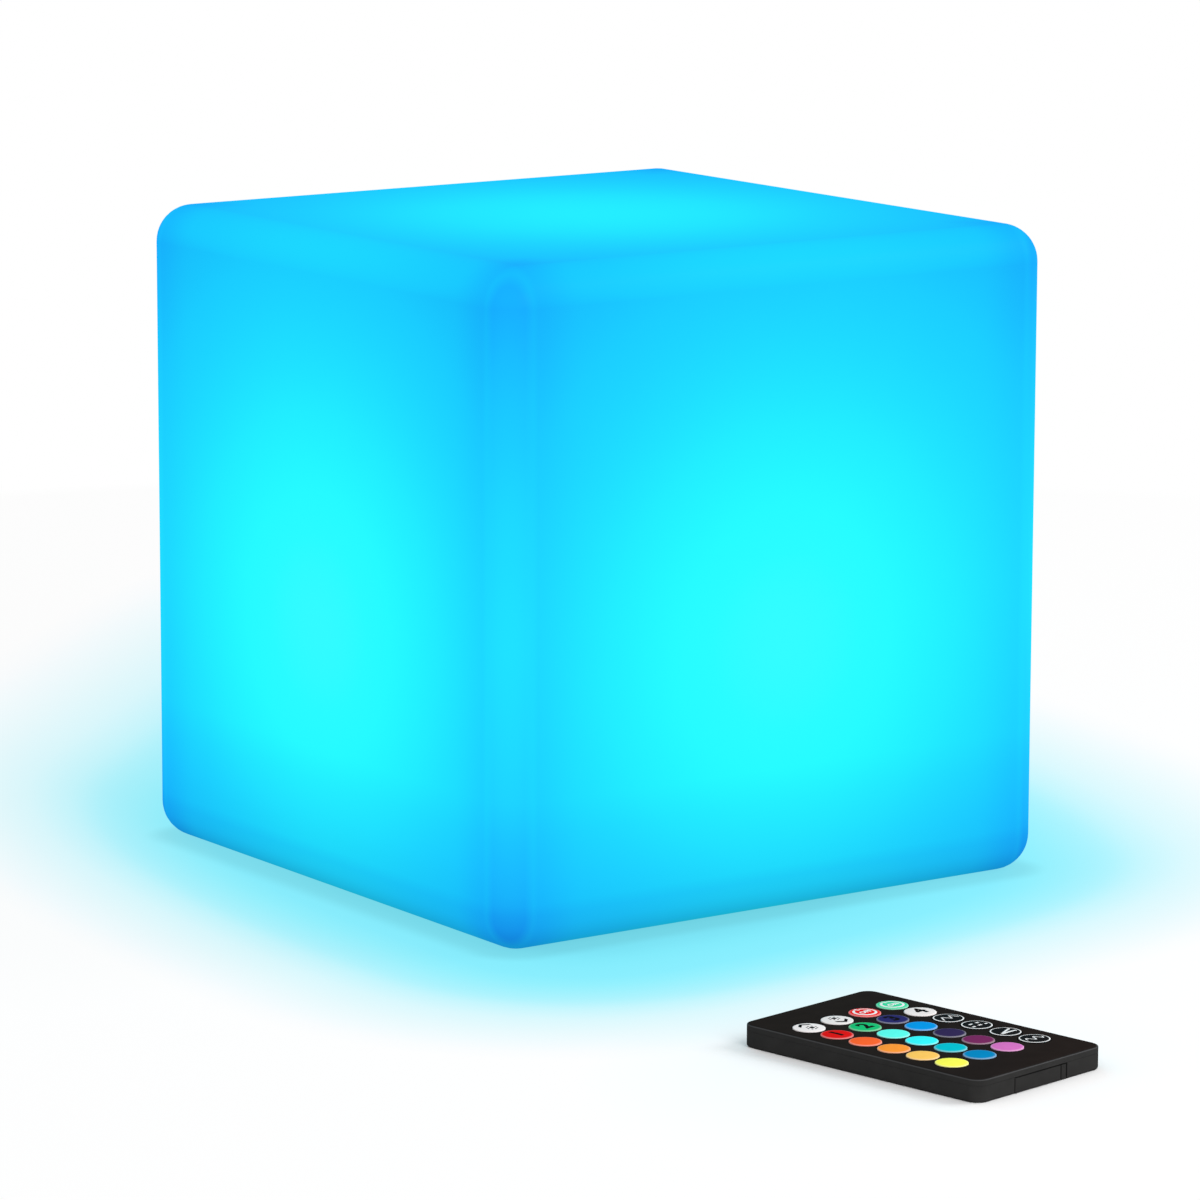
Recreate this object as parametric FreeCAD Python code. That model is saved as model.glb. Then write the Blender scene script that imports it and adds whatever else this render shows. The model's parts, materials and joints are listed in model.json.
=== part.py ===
import FreeCAD, Part
import math
import os

from FreeCAD import Vector

# A cube light of moulded translucent plastic, with a round light module screwed up into its base,
# and the slim card remote control that belongs to it, lying on the floor beside the cube.
# Lengths are in millimetres. The origin is the centre of the cube's base, on the floor; +Z is up,
# the cube's faces are square to X and Y, and the remote lies on the -Y side.

# ---------------------------------------------------------------- cube
CUBE_SIDE = 200.0
EDGE_RADIUS = 11.5
SHELL_WALL = 3.0
INNER_RADIUS_MIN = 1.0
OVERLAP = 1.0               # how far a cutter runs past the face it opens, and a boss into its carrier

# round recess in the base, the ledge at its top and the bosses above the ledge
COVER_INSET = 1.5           # underside of the cover above the floor
COVER_THICK = 3.3
COVER_GAP = 0.5             # between the cover's rim and the recess
COVER_BEVEL = 0.6
GASKET_THICK = 1.2
GASKET_MARGIN = 0.4         # gasket inside the cover's rim and outside the opening
LEDGE_THICK = 3.0
LEDGE_WIDTH = 9.0
BOSS_RADIUS = 4.0
BOSS_HEIGHT = 10.0

# ---------------------------------------------------------------- fasteners
BIG_SHANK = 1.45            # base screws
BIG_HEAD = 2.8
BIG_HEAD_HEIGHT = 1.8
BIG_LENGTH = 9.0
BIG_HEAD_SINK = 2.0         # depth of the counterbore under each head
SMALL_SHANK = 0.95          # board and dome screws
SMALL_HEAD = 1.9
SMALL_HEAD_HEIGHT = 1.2
SMALL_LENGTH = 5.6
PILOT_GAP = 0.05            # radial room round a shank in its pilot hole
PILOT_DEPTH_SPARE = 0.4
PASS_GAP = 0.25             # radial room round a shank in a pass hole
HEAD_GAP = 0.3              # radial room round a head in its counterbore
CROSS_REACH_SHARE = 1.2     # cross recess: length, as a share of the head's radius
CROSS_WIDTH_SHARE = 0.28    # cross recess in a head: arm width and depth, as shares of the head
CROSS_DEPTH_SHARE = 0.5
COVER_SCREWS = 6
FIRST_COVER_SCREW = 30.0    # degrees from +X
CUP_SCREW_ANGLE = 60.0      # degrees from +X

# ---------------------------------------------------------------- battery
CELL_RADIUS = 9.15
CELL_LENGTH = 65.0
CELL_END_ROOM = 5.0         # from each end of the cell to the cup's wall
CELL_HEADROOM = 3.3
CELL_NECK_RADIUS = 3.2
CELL_NECK_HEIGHT = 0.6
CELL_EDGE = 0.6             # rounding at the cell's ends
SADDLE_GAP = 0.1
SADDLE_LENGTH = 6.0
SADDLE_OVER_AXIS = 2.5
CRADLE_BASE = 1.6
CRADLE_WIDTH = 22.0
CRADLE_LENGTH = 56.0
CRADLE_EAR = 8.0
CRADLE_CORNER = 2.0
EAR_OVERLAP = 1.0           # ear into the cradle's side
EAR_BOSS_FLOOR = 0.3        # under the pilot hole of an ear's screw
CELL_LIFT = 0.3

# ---------------------------------------------------------------- module cup and boards
CUP_WALL = 2.0
CUP_GAP = 1.5               # between the cup and the opening in the base
CUP_FLOOR = 2.0
RIM_WIDTH = 6.0
RIM_DEPTH = 4.0
LUG_RADIUS = 3.5
LUG_INSET = 3.2             # lug centre in from the cup's inner wall
COLUMN_RADIUS = 3.0
COLUMNS = 4
DIAGONAL = 45.0             # degrees from +X, for the columns and the white lamps
BOARD_THICK = 1.6
BOARD_CORNER = 6.0
CONTROL_WIDTH = 56.0
CONTROL_DEPTH = 40.0
CONTROL_STANDOFF = 4.2
STANDOFF_RADIUS = 2.4
STANDOFF_INSET = 4.0
PARTS_ROOM = 3.9            # over the control board, for its chips
BOARD_PARTS = (             # width, depth, height and place: controller, charger, four drivers
    (6.0, 5.0, 1.6, -8.0, 4.0),
    (5.0, 4.0, 1.5, 8.0, 4.0),
    (3.0, 1.6, 1.1, -15.0, -7.0),
    (3.0, 1.6, 1.1, -10.0, -7.0),
    (3.0, 1.6, 1.1, -5.0, -7.0),
    (3.0, 1.6, 1.1, 0.0, -7.0),
)
COIL_RADIUS = 3.0
COIL_HEIGHT = 2.8
COIL_X = -18.0
COIL_Y = 8.0
LED_BOARD_GAP = 1.5         # between the light board and the rim
LED_BOARD_SINK = 2.0        # light board's underside below the rim's top
SEAL_THICK = 0.8
FLANGE_THICK = 1.8
DOME_RISE = 14.0
DOME_WALL = 1.6
DOME_SCREWS = 6

# lamps on the light board
LED_SIZE = 5.0
LED_HEIGHT = 1.6
LED_WELL_RADIUS = 1.9
LED_WELL_DEPTH = 0.4
COLOUR_LEDS = 12
COLOUR_RING = 22.0
WHITE_LEDS = 4
WHITE_RING = 11.0
RECEIVER_WIDTH = 6.0
RECEIVER_DEPTH = 4.8
RECEIVER_HEIGHT = 6.8
RECEIVER_LENS = 2.2
RECEIVER_LENS_DROP = 1.0    # top of the lens below the receiver's top
RECEIVER_BEVEL = 0.6

# ---------------------------------------------------------------- what shows in the cover
SOCKET_X = -13.0
SOCKET_LENGTH = 8.94
SOCKET_WIDTH = 3.26
SOCKET_SKIN = 0.3
SOCKET_MOUTH = 1.3          # mouth above the cover's underside
SOCKET_DEPTH = 5.2
TONGUE_LENGTH = 6.7
TONGUE_THICK = 0.7
TONGUE_SINK = 1.0
SOCKET_GAP = 0.3
FLAP_LENGTH = 9.0
FLAP_WIDTH = 13.0
FLAP_THICK = 1.0
FLAP_CORNER = 2.0
FLAP_GAP = 0.3
FLAP_SWING_GAP = 0.9        # behind the flap's root, which swings back as the flap opens
FLAP_ROOF = 0.2
RUBBER_OVERLAP = 0.5        # plug and strap into the flap
TAB_LENGTH = 1.2
TAB_WIDTH = 5.0
TAB_THICK = 0.6
PLUG_LENGTH = 7.6
PLUG_WIDTH = 1.9
PLUG_REACH = 0.8
HINGE_REACH = 7.0           # hinge bead from the socket's middle
HINGE_LIFT = 1.4            # hinge bead above the cover's underside
BEAD_RADIUS = 0.8
BEAD_LENGTH = 8.0
BEAD_GAP = 0.08
STRAP_WIDTH = 5.0
STRAP_THICK = 0.8
STRAP_LENGTH = 1.8
STRAP_SWING = 1.6           # room behind the bead for the strap when the flap hangs open

BUTTON_X = 13.0
BUTTON_RADIUS = 4.5
BUTTON_PROUD = 0.3
BUTTON_GAP = 0.3
BUTTON_FLANGE = 6.0
BUTTON_FLANGE_THICK = 0.5
BUTTON_FLOAT = 0.05
BUTTON_TRAVEL = 0.4
BUTTON_DISH = 0.4
BUTTON_DISH_SINK = 0.28     # deepest point of the dish below the button's rim
STEM_RADIUS = 1.5
STEM_GAP = 0.3
SWITCH_SIZE = 6.0
SWITCH_HEIGHT = 3.0
SWITCH_CORNER = 0.5
STEM_ENTRY = 1.0
LIGHT_X = 2.0
LIGHT_RADIUS = 1.5
LIGHT_GAP = 0.2
LIGHT_SINK = 0.5
LIGHT_FLANGE = 0.4
LIGHT_FLANGE_THICK = 1.0

# leads
LEAD_RADIUS = 0.7
LEAD_BEND = 1.5
LEAD_WALL_ROOM = 2.3        # battery lead's middle in from the cup's wall
LEAD_PAD_X = 25.0
LEAD_OVER_BOARD = 2.0
LEAD_HOLE = 1.3
RIBBON_X = 12.0
RIBBON_LOW_Y = -14.0
RIBBON_HIGH_Y = -19.0
RIBBON_PITCH = 1.4
RIBBON_WIRES = 4
RIBBON_RADIUS = 0.6
RIBBON_BEND = 6.0
RIBBON_SLOT_GAP = 1.0
RIBBON_STEP = 4.0           # half the height in which a lead steps over from one Y to the other

# ---------------------------------------------------------------- remote control
REMOTE_X = -66.5
REMOTE_Y = -251.0
REMOTE_TURN = 10.8          # degrees, about +Z
REMOTE_LENGTH = 85.0
REMOTE_WIDTH = 52.0
REMOTE_CORNER = 4.0
REMOTE_WALL = 1.5
REMOTE_FLOOR = 0.9
REMOTE_FOOT_BEVEL = 0.7
REMOTE_TOP_BEVEL = 0.35
FACE_INSET = 0.6
FACE_SHEET = 0.15
FACE_PLATE = 0.55
KEY_ROWS = 6
KEY_COLUMNS = 4
KEY_PITCH_X = 11.4
KEY_PITCH_Y = 10.2
KEY_RADIUS = 4.5
KEY_GAP = 0.15
KEY_FLANGE = 0.4
KEY_FLANGE_THICK = 0.35
KEY_FLOAT = 0.05
KEY_TRAVEL = 0.3
KEY_PROUD = 0.05
KEY_DOME = 0.35
SHEET_HOLE_GAP = 0.05
CONTACT_SHEET = 0.15
REMOTE_BOARD = 0.8
REMOTE_CHIPS = (            # width, depth, height and place: encoder, resonator, two small parts
    (8.6, 6.0, 1.5, 0.0, 8.0),
    (3.2, 1.6, 1.0, 10.0, 8.0),
    (2.0, 1.2, 0.6, 10.0, 14.0),
    (2.0, 1.2, 0.6, -10.0, 14.0),
)
BOARD_SIDE_GAP = 0.2
BOARD_OVER_PARTING = 0.5    # how far the case's joint line is above the board's underside
SUPPORT_RIB = 1.2
COIN_RADIUS = 10.0
COIN_THICK = 2.5
COIN_GAP = 0.1
COIN_STEP = 0.25
COIN_RIM = 1.0
CONTACT_ROOM = 0.45         # between the coin cell and the board above it
CONTACT_GAP = 0.05
CONTACT_THICK = 0.15
CONTACT_WIDTH = 3.0
CONTACT_TOE = 2.0           # flat toe that bears on the cell
CONTACT_ROOT = 1.5          # root that is soldered to the board
TRAY_X = -0.5
TRAY_SIDE = 0.55            # tray wall beside the coin cell
TRAY_FLOOR = 0.2
TRAY_FRONT = 1.6
TRAY_FRONT_SPACE = 1.7      # from the front plate to the coin cell
TRAY_END = 0.8
TRAY_SLIDE_GAP = 0.05
TRAY_GAP = 0.25
TRAY_RIM_DROP = 0.05
TRAY_LINE = 0.15            # shadow gap above and below the tray's front
LATCH_WIDTH = 2.1
LATCH_SLOT = 0.4
LATCH_LENGTH = 6.0
TRAY_NOTCH = 3.0
EMITTER_RADIUS = 1.45
EMITTER_LENGTH = 5.0
EMITTER_COLLAR = 0.1
EMITTER_COLLAR_LENGTH = 1.0
EMITTER_GAP = 0.1
EMITTER_HOLE_START = 0.5    # hole's start inside the case's end wall

# keys by row, from the remote's top end, and from its left side
KEY_NAMES = (
    ("brighter", "dimmer", "off", "on"),
    ("red", "green", "blue", "white"),
    ("scarlet", "turquoise", "sky", "flash"),
    ("orange", "cyan", "indigo", "strobe"),
    ("amber", "teal", "plum", "fade"),
    ("yellow", "ocean", "orchid", "smooth"),
)

# ---------------------------------------------------------------- worked out from the values above
cover_low = COVER_INSET
cover_top = cover_low + COVER_THICK
ledge_z = cover_top + GASKET_THICK
ledge_top = ledge_z + LEDGE_THICK
control_z = cover_top + CONTROL_STANDOFF
control_top = control_z + BOARD_THICK
cup_floor_z = control_top + PARTS_ROOM
cup_floor_top = cup_floor_z + CUP_FLOOR
cradle_top = cup_floor_top + CRADLE_BASE
cell_z = cradle_top + CELL_LIFT + CELL_RADIUS
led_board_z = cell_z + CELL_RADIUS + CELL_HEADROOM
led_board_top = led_board_z + BOARD_THICK
rim_top = led_board_z + LED_BOARD_SINK
flange_low = rim_top + SEAL_THICK
flange_top = flange_low + FLANGE_THICK

cup_inner = CELL_LENGTH / 2 + CELL_END_ROOM
cup_radius = cup_inner + CUP_WALL
rim_inner = cup_radius - RIM_WIDTH
led_board_radius = rim_inner - LED_BOARD_GAP
opening_radius = cup_radius + CUP_GAP
recess_radius = opening_radius + LEDGE_WIDTH
cover_radius = recess_radius - COVER_GAP
cover_screw_circle = opening_radius + LEDGE_WIDTH / 2
cup_screw_circle = cup_inner - LUG_INSET
dome_screw_circle = cup_radius - RIM_WIDTH / 2
column_circle = led_board_radius - COLUMN_RADIUS

hinge_x = SOCKET_X - HINGE_REACH
hinge_z = cover_low + HINGE_LIFT
socket_mouth_z = cover_low + SOCKET_MOUTH
flap_top = cover_low + FLAP_THICK
flap_start = hinge_x + STRAP_LENGTH
flap_end = flap_start + FLAP_LENGTH
button_flange_low = cover_top + BUTTON_FLOAT
button_flange_top = button_flange_low + BUTTON_FLANGE_THICK
switch_low = control_z - SWITCH_HEIGHT
lead_x = cup_inner - LEAD_WALL_ROOM

tray_low = REMOTE_FLOOR + TRAY_SLIDE_GAP
coin_low = tray_low + TRAY_FLOOR
coin_top = coin_low + COIN_THICK
tray_top = coin_top - TRAY_RIM_DROP
remote_board_low = coin_top + CONTACT_ROOM
remote_board_top = remote_board_low + REMOTE_BOARD
contact_sheet_top = remote_board_top + CONTACT_SHEET
key_low = contact_sheet_top + KEY_TRAVEL + KEY_FLOAT
key_flange_top = key_low + KEY_FLANGE_THICK
plate_low = key_flange_top + KEY_FLOAT
plate_top = plate_low + FACE_PLATE
face_top = plate_top + FACE_SHEET
parting_z = remote_board_low + BOARD_OVER_PARTING

half_length = REMOTE_LENGTH / 2
tray_half = COIN_RADIUS + COIN_GAP + TRAY_SIDE
tray_back_of_front = -half_length + TRAY_FRONT
coin_y = tray_back_of_front + TRAY_FRONT_SPACE + COIN_RADIUS
tray_end_y = coin_y + COIN_RADIUS + TRAY_END


# ---------------------------------------------------------------- plain forms
def disc(radius, low, high, x=0.0, y=0.0):
    return Part.makeCylinder(radius, high - low, Vector(x, y, low))


def ring(outer, inner, low, high):
    return disc(outer, low, high).cut(disc(inner, low, high))


def block(x_low, x_high, y_low, y_high, low, high):
    return Part.makeBox(x_high - x_low, y_high - y_low, high - low, Vector(x_low, y_low, low))


def centred(width, depth, low, high, x=0.0, y=0.0):
    return block(x - width / 2, x + width / 2, y - depth / 2, y + depth / 2, low, high)


def plate(width, depth, low, high, corner, x=0.0, y=0.0):
    """A flat plate with its upright corners rounded."""
    body = centred(width, depth, low, high, x, y)
    upright = [edge for edge in body.Edges if abs(edge.tangentAt(edge.FirstParameter).z) > 0.9]
    return body.makeFillet(corner, upright)


def slot_along_y(length, width, low, high, x=0.0, y=0.0):
    """A round-ended bar, long in Y."""
    reach = (length - width) / 2
    bar = centred(width, 2 * reach, low, high, x, y)
    ends = [disc(width / 2, low, high, x, y + side * reach) for side in (-1, 1)]
    return bar.multiFuse(ends).removeSplitter()


def around(radius, count, first=0.0):
    """Places spaced evenly round a circle; first is the first one's angle in degrees."""
    angles = [math.radians(first + 360.0 * step / count) for step in range(count)]
    return [(radius * math.cos(angle), radius * math.sin(angle)) for angle in angles]


def grid_of_four(x, y):
    return [(x, y), (-x, y), (-x, -y), (x, -y)]


def rim_edges(shape, z):
    """The edges of a shape that lie wholly at one height."""
    return [edge for edge in shape.Edges
            if abs(edge.BoundBox.ZMin - z) < 1e-4 and abs(edge.BoundBox.ZMax - z) < 1e-4]


def together(pieces):
    return pieces[0].multiFuse(pieces[1:]).removeSplitter() if len(pieces) > 1 else pieces[0]


def without(body, cutters):
    return body.cut(Part.makeCompound(cutters))


def screw(x, y, seat, way, shank, head, head_height, length):
    """A pan-head screw: the head bears on z = seat and the shank runs up (way 1) or down (way -1)."""
    low, high = sorted((seat, seat - way * head_height))
    top = disc(head, low, high, x, y)
    low, high = sorted((seat, seat + way * length))
    stem = disc(shank, low, high, x, y)
    outer = seat - way * head_height
    inner = outer + way * head_height * CROSS_DEPTH_SHARE
    low, high = sorted((outer, inner))
    arm = head * CROSS_WIDTH_SHARE
    reach = head * CROSS_REACH_SHARE
    cross = centred(arm, reach, low, high, x, y).fuse(centred(reach, arm, low, high, x, y))
    return top.fuse(stem).cut(cross)


def base_screw(x, y):
    seat = cover_low + BIG_HEAD_SINK
    return screw(x, y, seat, 1, BIG_SHANK, BIG_HEAD, BIG_HEAD_HEIGHT, BIG_LENGTH)


def small_screw(x, y, seat):
    return screw(x, y, seat, -1, SMALL_SHANK, SMALL_HEAD, SMALL_HEAD_HEIGHT, SMALL_LENGTH)


def small_pilot(x, y, seat):
    depth = SMALL_LENGTH + PILOT_DEPTH_SPARE
    return disc(SMALL_SHANK + PILOT_GAP, seat - depth, seat, x, y)


def small_pass(x, y, low, high):
    return disc(SMALL_SHANK + PASS_GAP, low, high, x, y)


def wire(points, radius, bend):
    """A round wire whose straight runs are joined by arcs that meet them smoothly."""
    corners = [Vector(*point) for point in points]
    edges = []
    start = corners[0]
    for before, corner, after in zip(corners, corners[1:], corners[2:]):
        into = (corner - before).normalize()
        out = (after - corner).normalize()
        half_turn = into.getAngle(out) / 2
        setback = bend * math.tan(half_turn)
        arc_start = corner - into * setback
        arc_end = corner + out * setback
        inward = (out - into).normalize()
        arc_middle = corner + inward * bend * (1 / math.cos(half_turn) - 1)
        edges.append(Part.LineSegment(start, arc_start).toShape())
        edges.append(Part.Arc(arc_start, arc_middle, arc_end).toShape())
        start = arc_end
    edges.append(Part.LineSegment(start, corners[-1]).toShape())
    section = Part.Wire(Part.Circle(corners[0], corners[1] - corners[0], radius).toShape())
    return Part.Wire(edges).makePipeShell([section], True, False)


# ---------------------------------------------------------------- the cube's shell
cover_screw_places = around(cover_screw_circle, COVER_SCREWS, FIRST_COVER_SCREW)
cup_screw_places = grid_of_four(cup_screw_circle * math.cos(math.radians(CUP_SCREW_ANGLE)),
                                cup_screw_circle * math.sin(math.radians(CUP_SCREW_ANGLE)))
column_places = around(column_circle, COLUMNS, DIAGONAL)
standoff_places = grid_of_four(CONTROL_WIDTH / 2 - STANDOFF_INSET, CONTROL_DEPTH / 2 - STANDOFF_INSET)
dome_screw_places = around(dome_screw_circle, DOME_SCREWS, 0.0)
ear_y = CRADLE_WIDTH / 2 + CRADLE_EAR / 2 - EAR_OVERLAP
ear_places = [(0.0, ear_y), (0.0, -ear_y)]


def rounded_cube(half, low, high, radius):
    body = block(-half, half, -half, half, low, high)
    return body.makeFillet(radius, body.Edges)


def cube_shell():
    """Hollow cube with soft edges; its base steps up round the recess for the light module."""
    half = CUBE_SIDE / 2
    inner_radius = max(EDGE_RADIUS - SHELL_WALL, INNER_RADIUS_MIN)
    skin = rounded_cube(half, 0.0, CUBE_SIDE, EDGE_RADIUS)
    skin = skin.cut(rounded_cube(half - SHELL_WALL, SHELL_WALL, CUBE_SIDE - SHELL_WALL, inner_radius))
    well = disc(recess_radius + SHELL_WALL, 0.0, ledge_top)
    bosses = [disc(BOSS_RADIUS, ledge_z, ledge_z + BOSS_HEIGHT, x, y) for x, y in cover_screw_places]
    body = skin.multiFuse([well] + bosses)
    pilot_top = cover_low + BIG_HEAD_SINK + BIG_LENGTH + PILOT_DEPTH_SPARE
    cutters = [disc(recess_radius, -OVERLAP, ledge_z)]
    cutters.append(disc(opening_radius, ledge_z - OVERLAP, ledge_top + OVERLAP))
    cutters += [disc(BIG_SHANK + PILOT_GAP, ledge_z - OVERLAP, pilot_top, x, y)
                for x, y in cover_screw_places]
    return without(body, cutters).removeSplitter()


# ---------------------------------------------------------------- base of the light module
def flap_pocket():
    """Room in the cover for the charge port's flap, its strap and its hinge bead."""
    pocket = block(flap_start - FLAP_SWING_GAP, flap_end + TAB_LENGTH + FLAP_GAP,
                   -FLAP_WIDTH / 2 - FLAP_GAP, FLAP_WIDTH / 2 + FLAP_GAP,
                   cover_low - OVERLAP, flap_top + FLAP_ROOF)
    strap_room = block(hinge_x - STRAP_SWING, flap_start,
                       -STRAP_WIDTH / 2 - FLAP_GAP, STRAP_WIDTH / 2 + FLAP_GAP,
                       cover_low - OVERLAP, hinge_z + BEAD_RADIUS + FLAP_GAP)
    bead_length = BEAD_LENGTH + 2 * FLAP_GAP
    bead_room = Part.makeCylinder(BEAD_RADIUS + BEAD_GAP, bead_length,
                                  Vector(hinge_x, -bead_length / 2, hinge_z), Vector(0, 1, 0))
    return [pocket, strap_room, bead_room]


def module_cover():
    """Round plate that closes the base, with its screw seats, port, button and light openings."""
    body = disc(cover_radius, cover_low, cover_top)
    body = body.makeChamfer(COVER_BEVEL, rim_edges(body, cover_low))
    posts = [disc(STANDOFF_RADIUS, cover_top, control_z, x, y) for x, y in standoff_places]
    body = body.multiFuse(posts)
    cutters = flap_pocket()
    for x, y in cover_screw_places + cup_screw_places:
        cutters.append(disc(BIG_HEAD + HEAD_GAP, cover_low - OVERLAP, cover_low + BIG_HEAD_SINK, x, y))
        cutters.append(disc(BIG_SHANK + PASS_GAP, cover_low, cover_top + OVERLAP, x, y))
    for x, y in standoff_places:
        cutters.append(small_pilot(x, y, control_z + BOARD_THICK))
    cutters.append(slot_along_y(SOCKET_LENGTH + 2 * SOCKET_GAP, SOCKET_WIDTH + 2 * SOCKET_GAP,
                                cover_low, cover_top + OVERLAP, SOCKET_X))
    cutters.append(disc(BUTTON_RADIUS + BUTTON_GAP, cover_low - OVERLAP, cover_top + OVERLAP, BUTTON_X))
    cutters.append(disc(LIGHT_RADIUS + LIGHT_GAP, cover_low - OVERLAP, cover_top + OVERLAP, LIGHT_X))
    return without(body, cutters).removeSplitter()


def cover_gasket():
    body = ring(cover_radius - GASKET_MARGIN, opening_radius + GASKET_MARGIN, cover_top, ledge_z)
    holes = [disc(BIG_SHANK + PASS_GAP, cover_top - OVERLAP, ledge_z + OVERLAP, x, y)
             for x, y in cover_screw_places]
    return without(body, holes)


def base_screws():
    return Part.makeCompound([base_screw(x, y) for x, y in cover_screw_places + cup_screw_places])


def charge_socket():
    """Upright charging socket: a metal shell open downwards, with its contact tongue inside."""
    shell = slot_along_y(SOCKET_LENGTH, SOCKET_WIDTH, socket_mouth_z, control_z, SOCKET_X)
    mouth = slot_along_y(SOCKET_LENGTH - 2 * SOCKET_SKIN, SOCKET_WIDTH - 2 * SOCKET_SKIN,
                         socket_mouth_z - OVERLAP, socket_mouth_z + SOCKET_DEPTH, SOCKET_X)
    tongue = centred(TONGUE_THICK, TONGUE_LENGTH, socket_mouth_z + TONGUE_SINK, control_z, SOCKET_X)
    return shell.cut(mouth).fuse(tongue).removeSplitter()


def charge_port_plug():
    """Rubber flap over the socket: flap, finger tab, plug, strap and the bead that it hinges on."""
    flap = plate(FLAP_LENGTH, FLAP_WIDTH, cover_low, flap_top, FLAP_CORNER, flap_start + FLAP_LENGTH / 2)
    tab = block(flap_end - OVERLAP, flap_end + TAB_LENGTH, -TAB_WIDTH / 2, TAB_WIDTH / 2,
                cover_low, cover_low + TAB_THICK)
    plug = slot_along_y(PLUG_LENGTH, PLUG_WIDTH, flap_top - RUBBER_OVERLAP,
                        socket_mouth_z + PLUG_REACH, SOCKET_X)
    strap = block(hinge_x, flap_start + RUBBER_OVERLAP, -STRAP_WIDTH / 2, STRAP_WIDTH / 2,
                  flap_top - STRAP_THICK, flap_top)
    bead = Part.makeCylinder(BEAD_RADIUS, BEAD_LENGTH,
                             Vector(hinge_x, -BEAD_LENGTH / 2, hinge_z), Vector(0, 1, 0))
    return together([flap, tab, plug, strap, bead])


def power_button():
    """Button with a dished face, a collar that keeps it behind the cover, and a stem to the switch."""
    face = cover_low - BUTTON_PROUD
    cap = disc(BUTTON_RADIUS, face, button_flange_top, BUTTON_X)
    collar = disc(BUTTON_FLANGE, button_flange_low, button_flange_top, BUTTON_X)
    stem = disc(STEM_RADIUS, button_flange_low, switch_low + STEM_ENTRY, BUTTON_X)
    dish_radius = (BUTTON_RADIUS ** 2 + BUTTON_DISH ** 2) / (2 * BUTTON_DISH)
    dish = Part.makeSphere(dish_radius, Vector(BUTTON_X, 0, face + BUTTON_DISH_SINK - dish_radius))
    return together([cap, collar, stem]).cut(dish)


def tact_switch():
    body = plate(SWITCH_SIZE, SWITCH_SIZE, switch_low, control_z, SWITCH_CORNER, BUTTON_X)
    well = disc(STEM_RADIUS + STEM_GAP, switch_low - OVERLAP,
                switch_low + STEM_ENTRY + BUTTON_TRAVEL + STEM_GAP, BUTTON_X)
    return body.cut(well)


def status_light():
    """Small round lamp behind the cover, with a domed tip just inside the cover's face."""
    tip = cover_low + LIGHT_SINK
    dome = Part.makeSphere(LIGHT_RADIUS, Vector(LIGHT_X, 0, tip + LIGHT_RADIUS))
    body = disc(LIGHT_RADIUS, tip + LIGHT_RADIUS, control_z, LIGHT_X)
    collar = disc(LIGHT_RADIUS + LIGHT_FLANGE, control_z - LIGHT_FLANGE_THICK, control_z, LIGHT_X)
    return together([dome, body, collar])


# ---------------------------------------------------------------- cup, boards and battery
def module_cup():
    """Cup that carries the light board: wall, middle floor, rim, lugs below and columns above."""
    wall = ring(cup_radius, cup_inner, cover_top, rim_top)
    floor = disc(cup_inner + CUP_WALL / 2, cup_floor_z, cup_floor_top)
    rim = ring(cup_radius, rim_inner, rim_top - RIM_DEPTH, rim_top)
    lugs = [disc(LUG_RADIUS, cover_top, cup_floor_z + OVERLAP, x, y) for x, y in cup_screw_places]
    columns = [disc(COLUMN_RADIUS, cup_floor_top - OVERLAP, led_board_z, x, y) for x, y in column_places]
    ear_boss_low = cradle_top - SMALL_LENGTH - PILOT_DEPTH_SPARE - EAR_BOSS_FLOOR
    ear_bosses = [disc(COLUMN_RADIUS, ear_boss_low, cup_floor_top, x, y) for x, y in ear_places]
    body = wall.multiFuse([floor, rim] + lugs + columns + ear_bosses)
    pilot_top = cover_low + BIG_HEAD_SINK + BIG_LENGTH + PILOT_DEPTH_SPARE
    cutters = [disc(BIG_SHANK + PILOT_GAP, cover_top - OVERLAP, pilot_top, x, y) for x, y in cup_screw_places]
    cutters += [small_pilot(x, y, led_board_top) for x, y in column_places]
    cutters += [small_pilot(x, y, cradle_top) for x, y in ear_places]
    cutters += [small_pilot(x, y, flange_top) for x, y in dome_screw_places]
    cutters += [disc(LEAD_HOLE, cup_floor_z - OVERLAP, cup_floor_top + OVERLAP, side * lead_x)
                for side in (-1, 1)]
    ribbon_width = RIBBON_PITCH * (RIBBON_WIRES - 1) + 2 * RIBBON_RADIUS
    cutters.append(centred(ribbon_width + 2 * RIBBON_SLOT_GAP, 2 * (RIBBON_RADIUS + RIBBON_SLOT_GAP),
                           cup_floor_z - OVERLAP, cup_floor_top + OVERLAP, RIBBON_X, RIBBON_LOW_Y))
    return without(body, cutters).removeSplitter()


def control_board():
    body = plate(CONTROL_WIDTH, CONTROL_DEPTH, control_z, control_top, BOARD_CORNER)
    holes = [small_pass(x, y, control_z - OVERLAP, control_top + OVERLAP) for x, y in standoff_places]
    return without(body, holes)


def board_chips():
    """Controller, charger, four drivers and a coil on top of the control board."""
    chips = [centred(width, depth, control_top, control_top + height, x, y)
             for width, depth, height, x, y in BOARD_PARTS]
    chips.append(disc(COIL_RADIUS, control_top, control_top + COIL_HEIGHT, COIL_X, COIL_Y))
    return Part.makeCompound(chips)


def board_screws():
    screws = [small_screw(x, y, control_top) for x, y in standoff_places]
    screws += [small_screw(x, y, led_board_top) for x, y in column_places]
    screws += [small_screw(x, y, cradle_top) for x, y in ear_places]
    return Part.makeCompound(screws)


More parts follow.
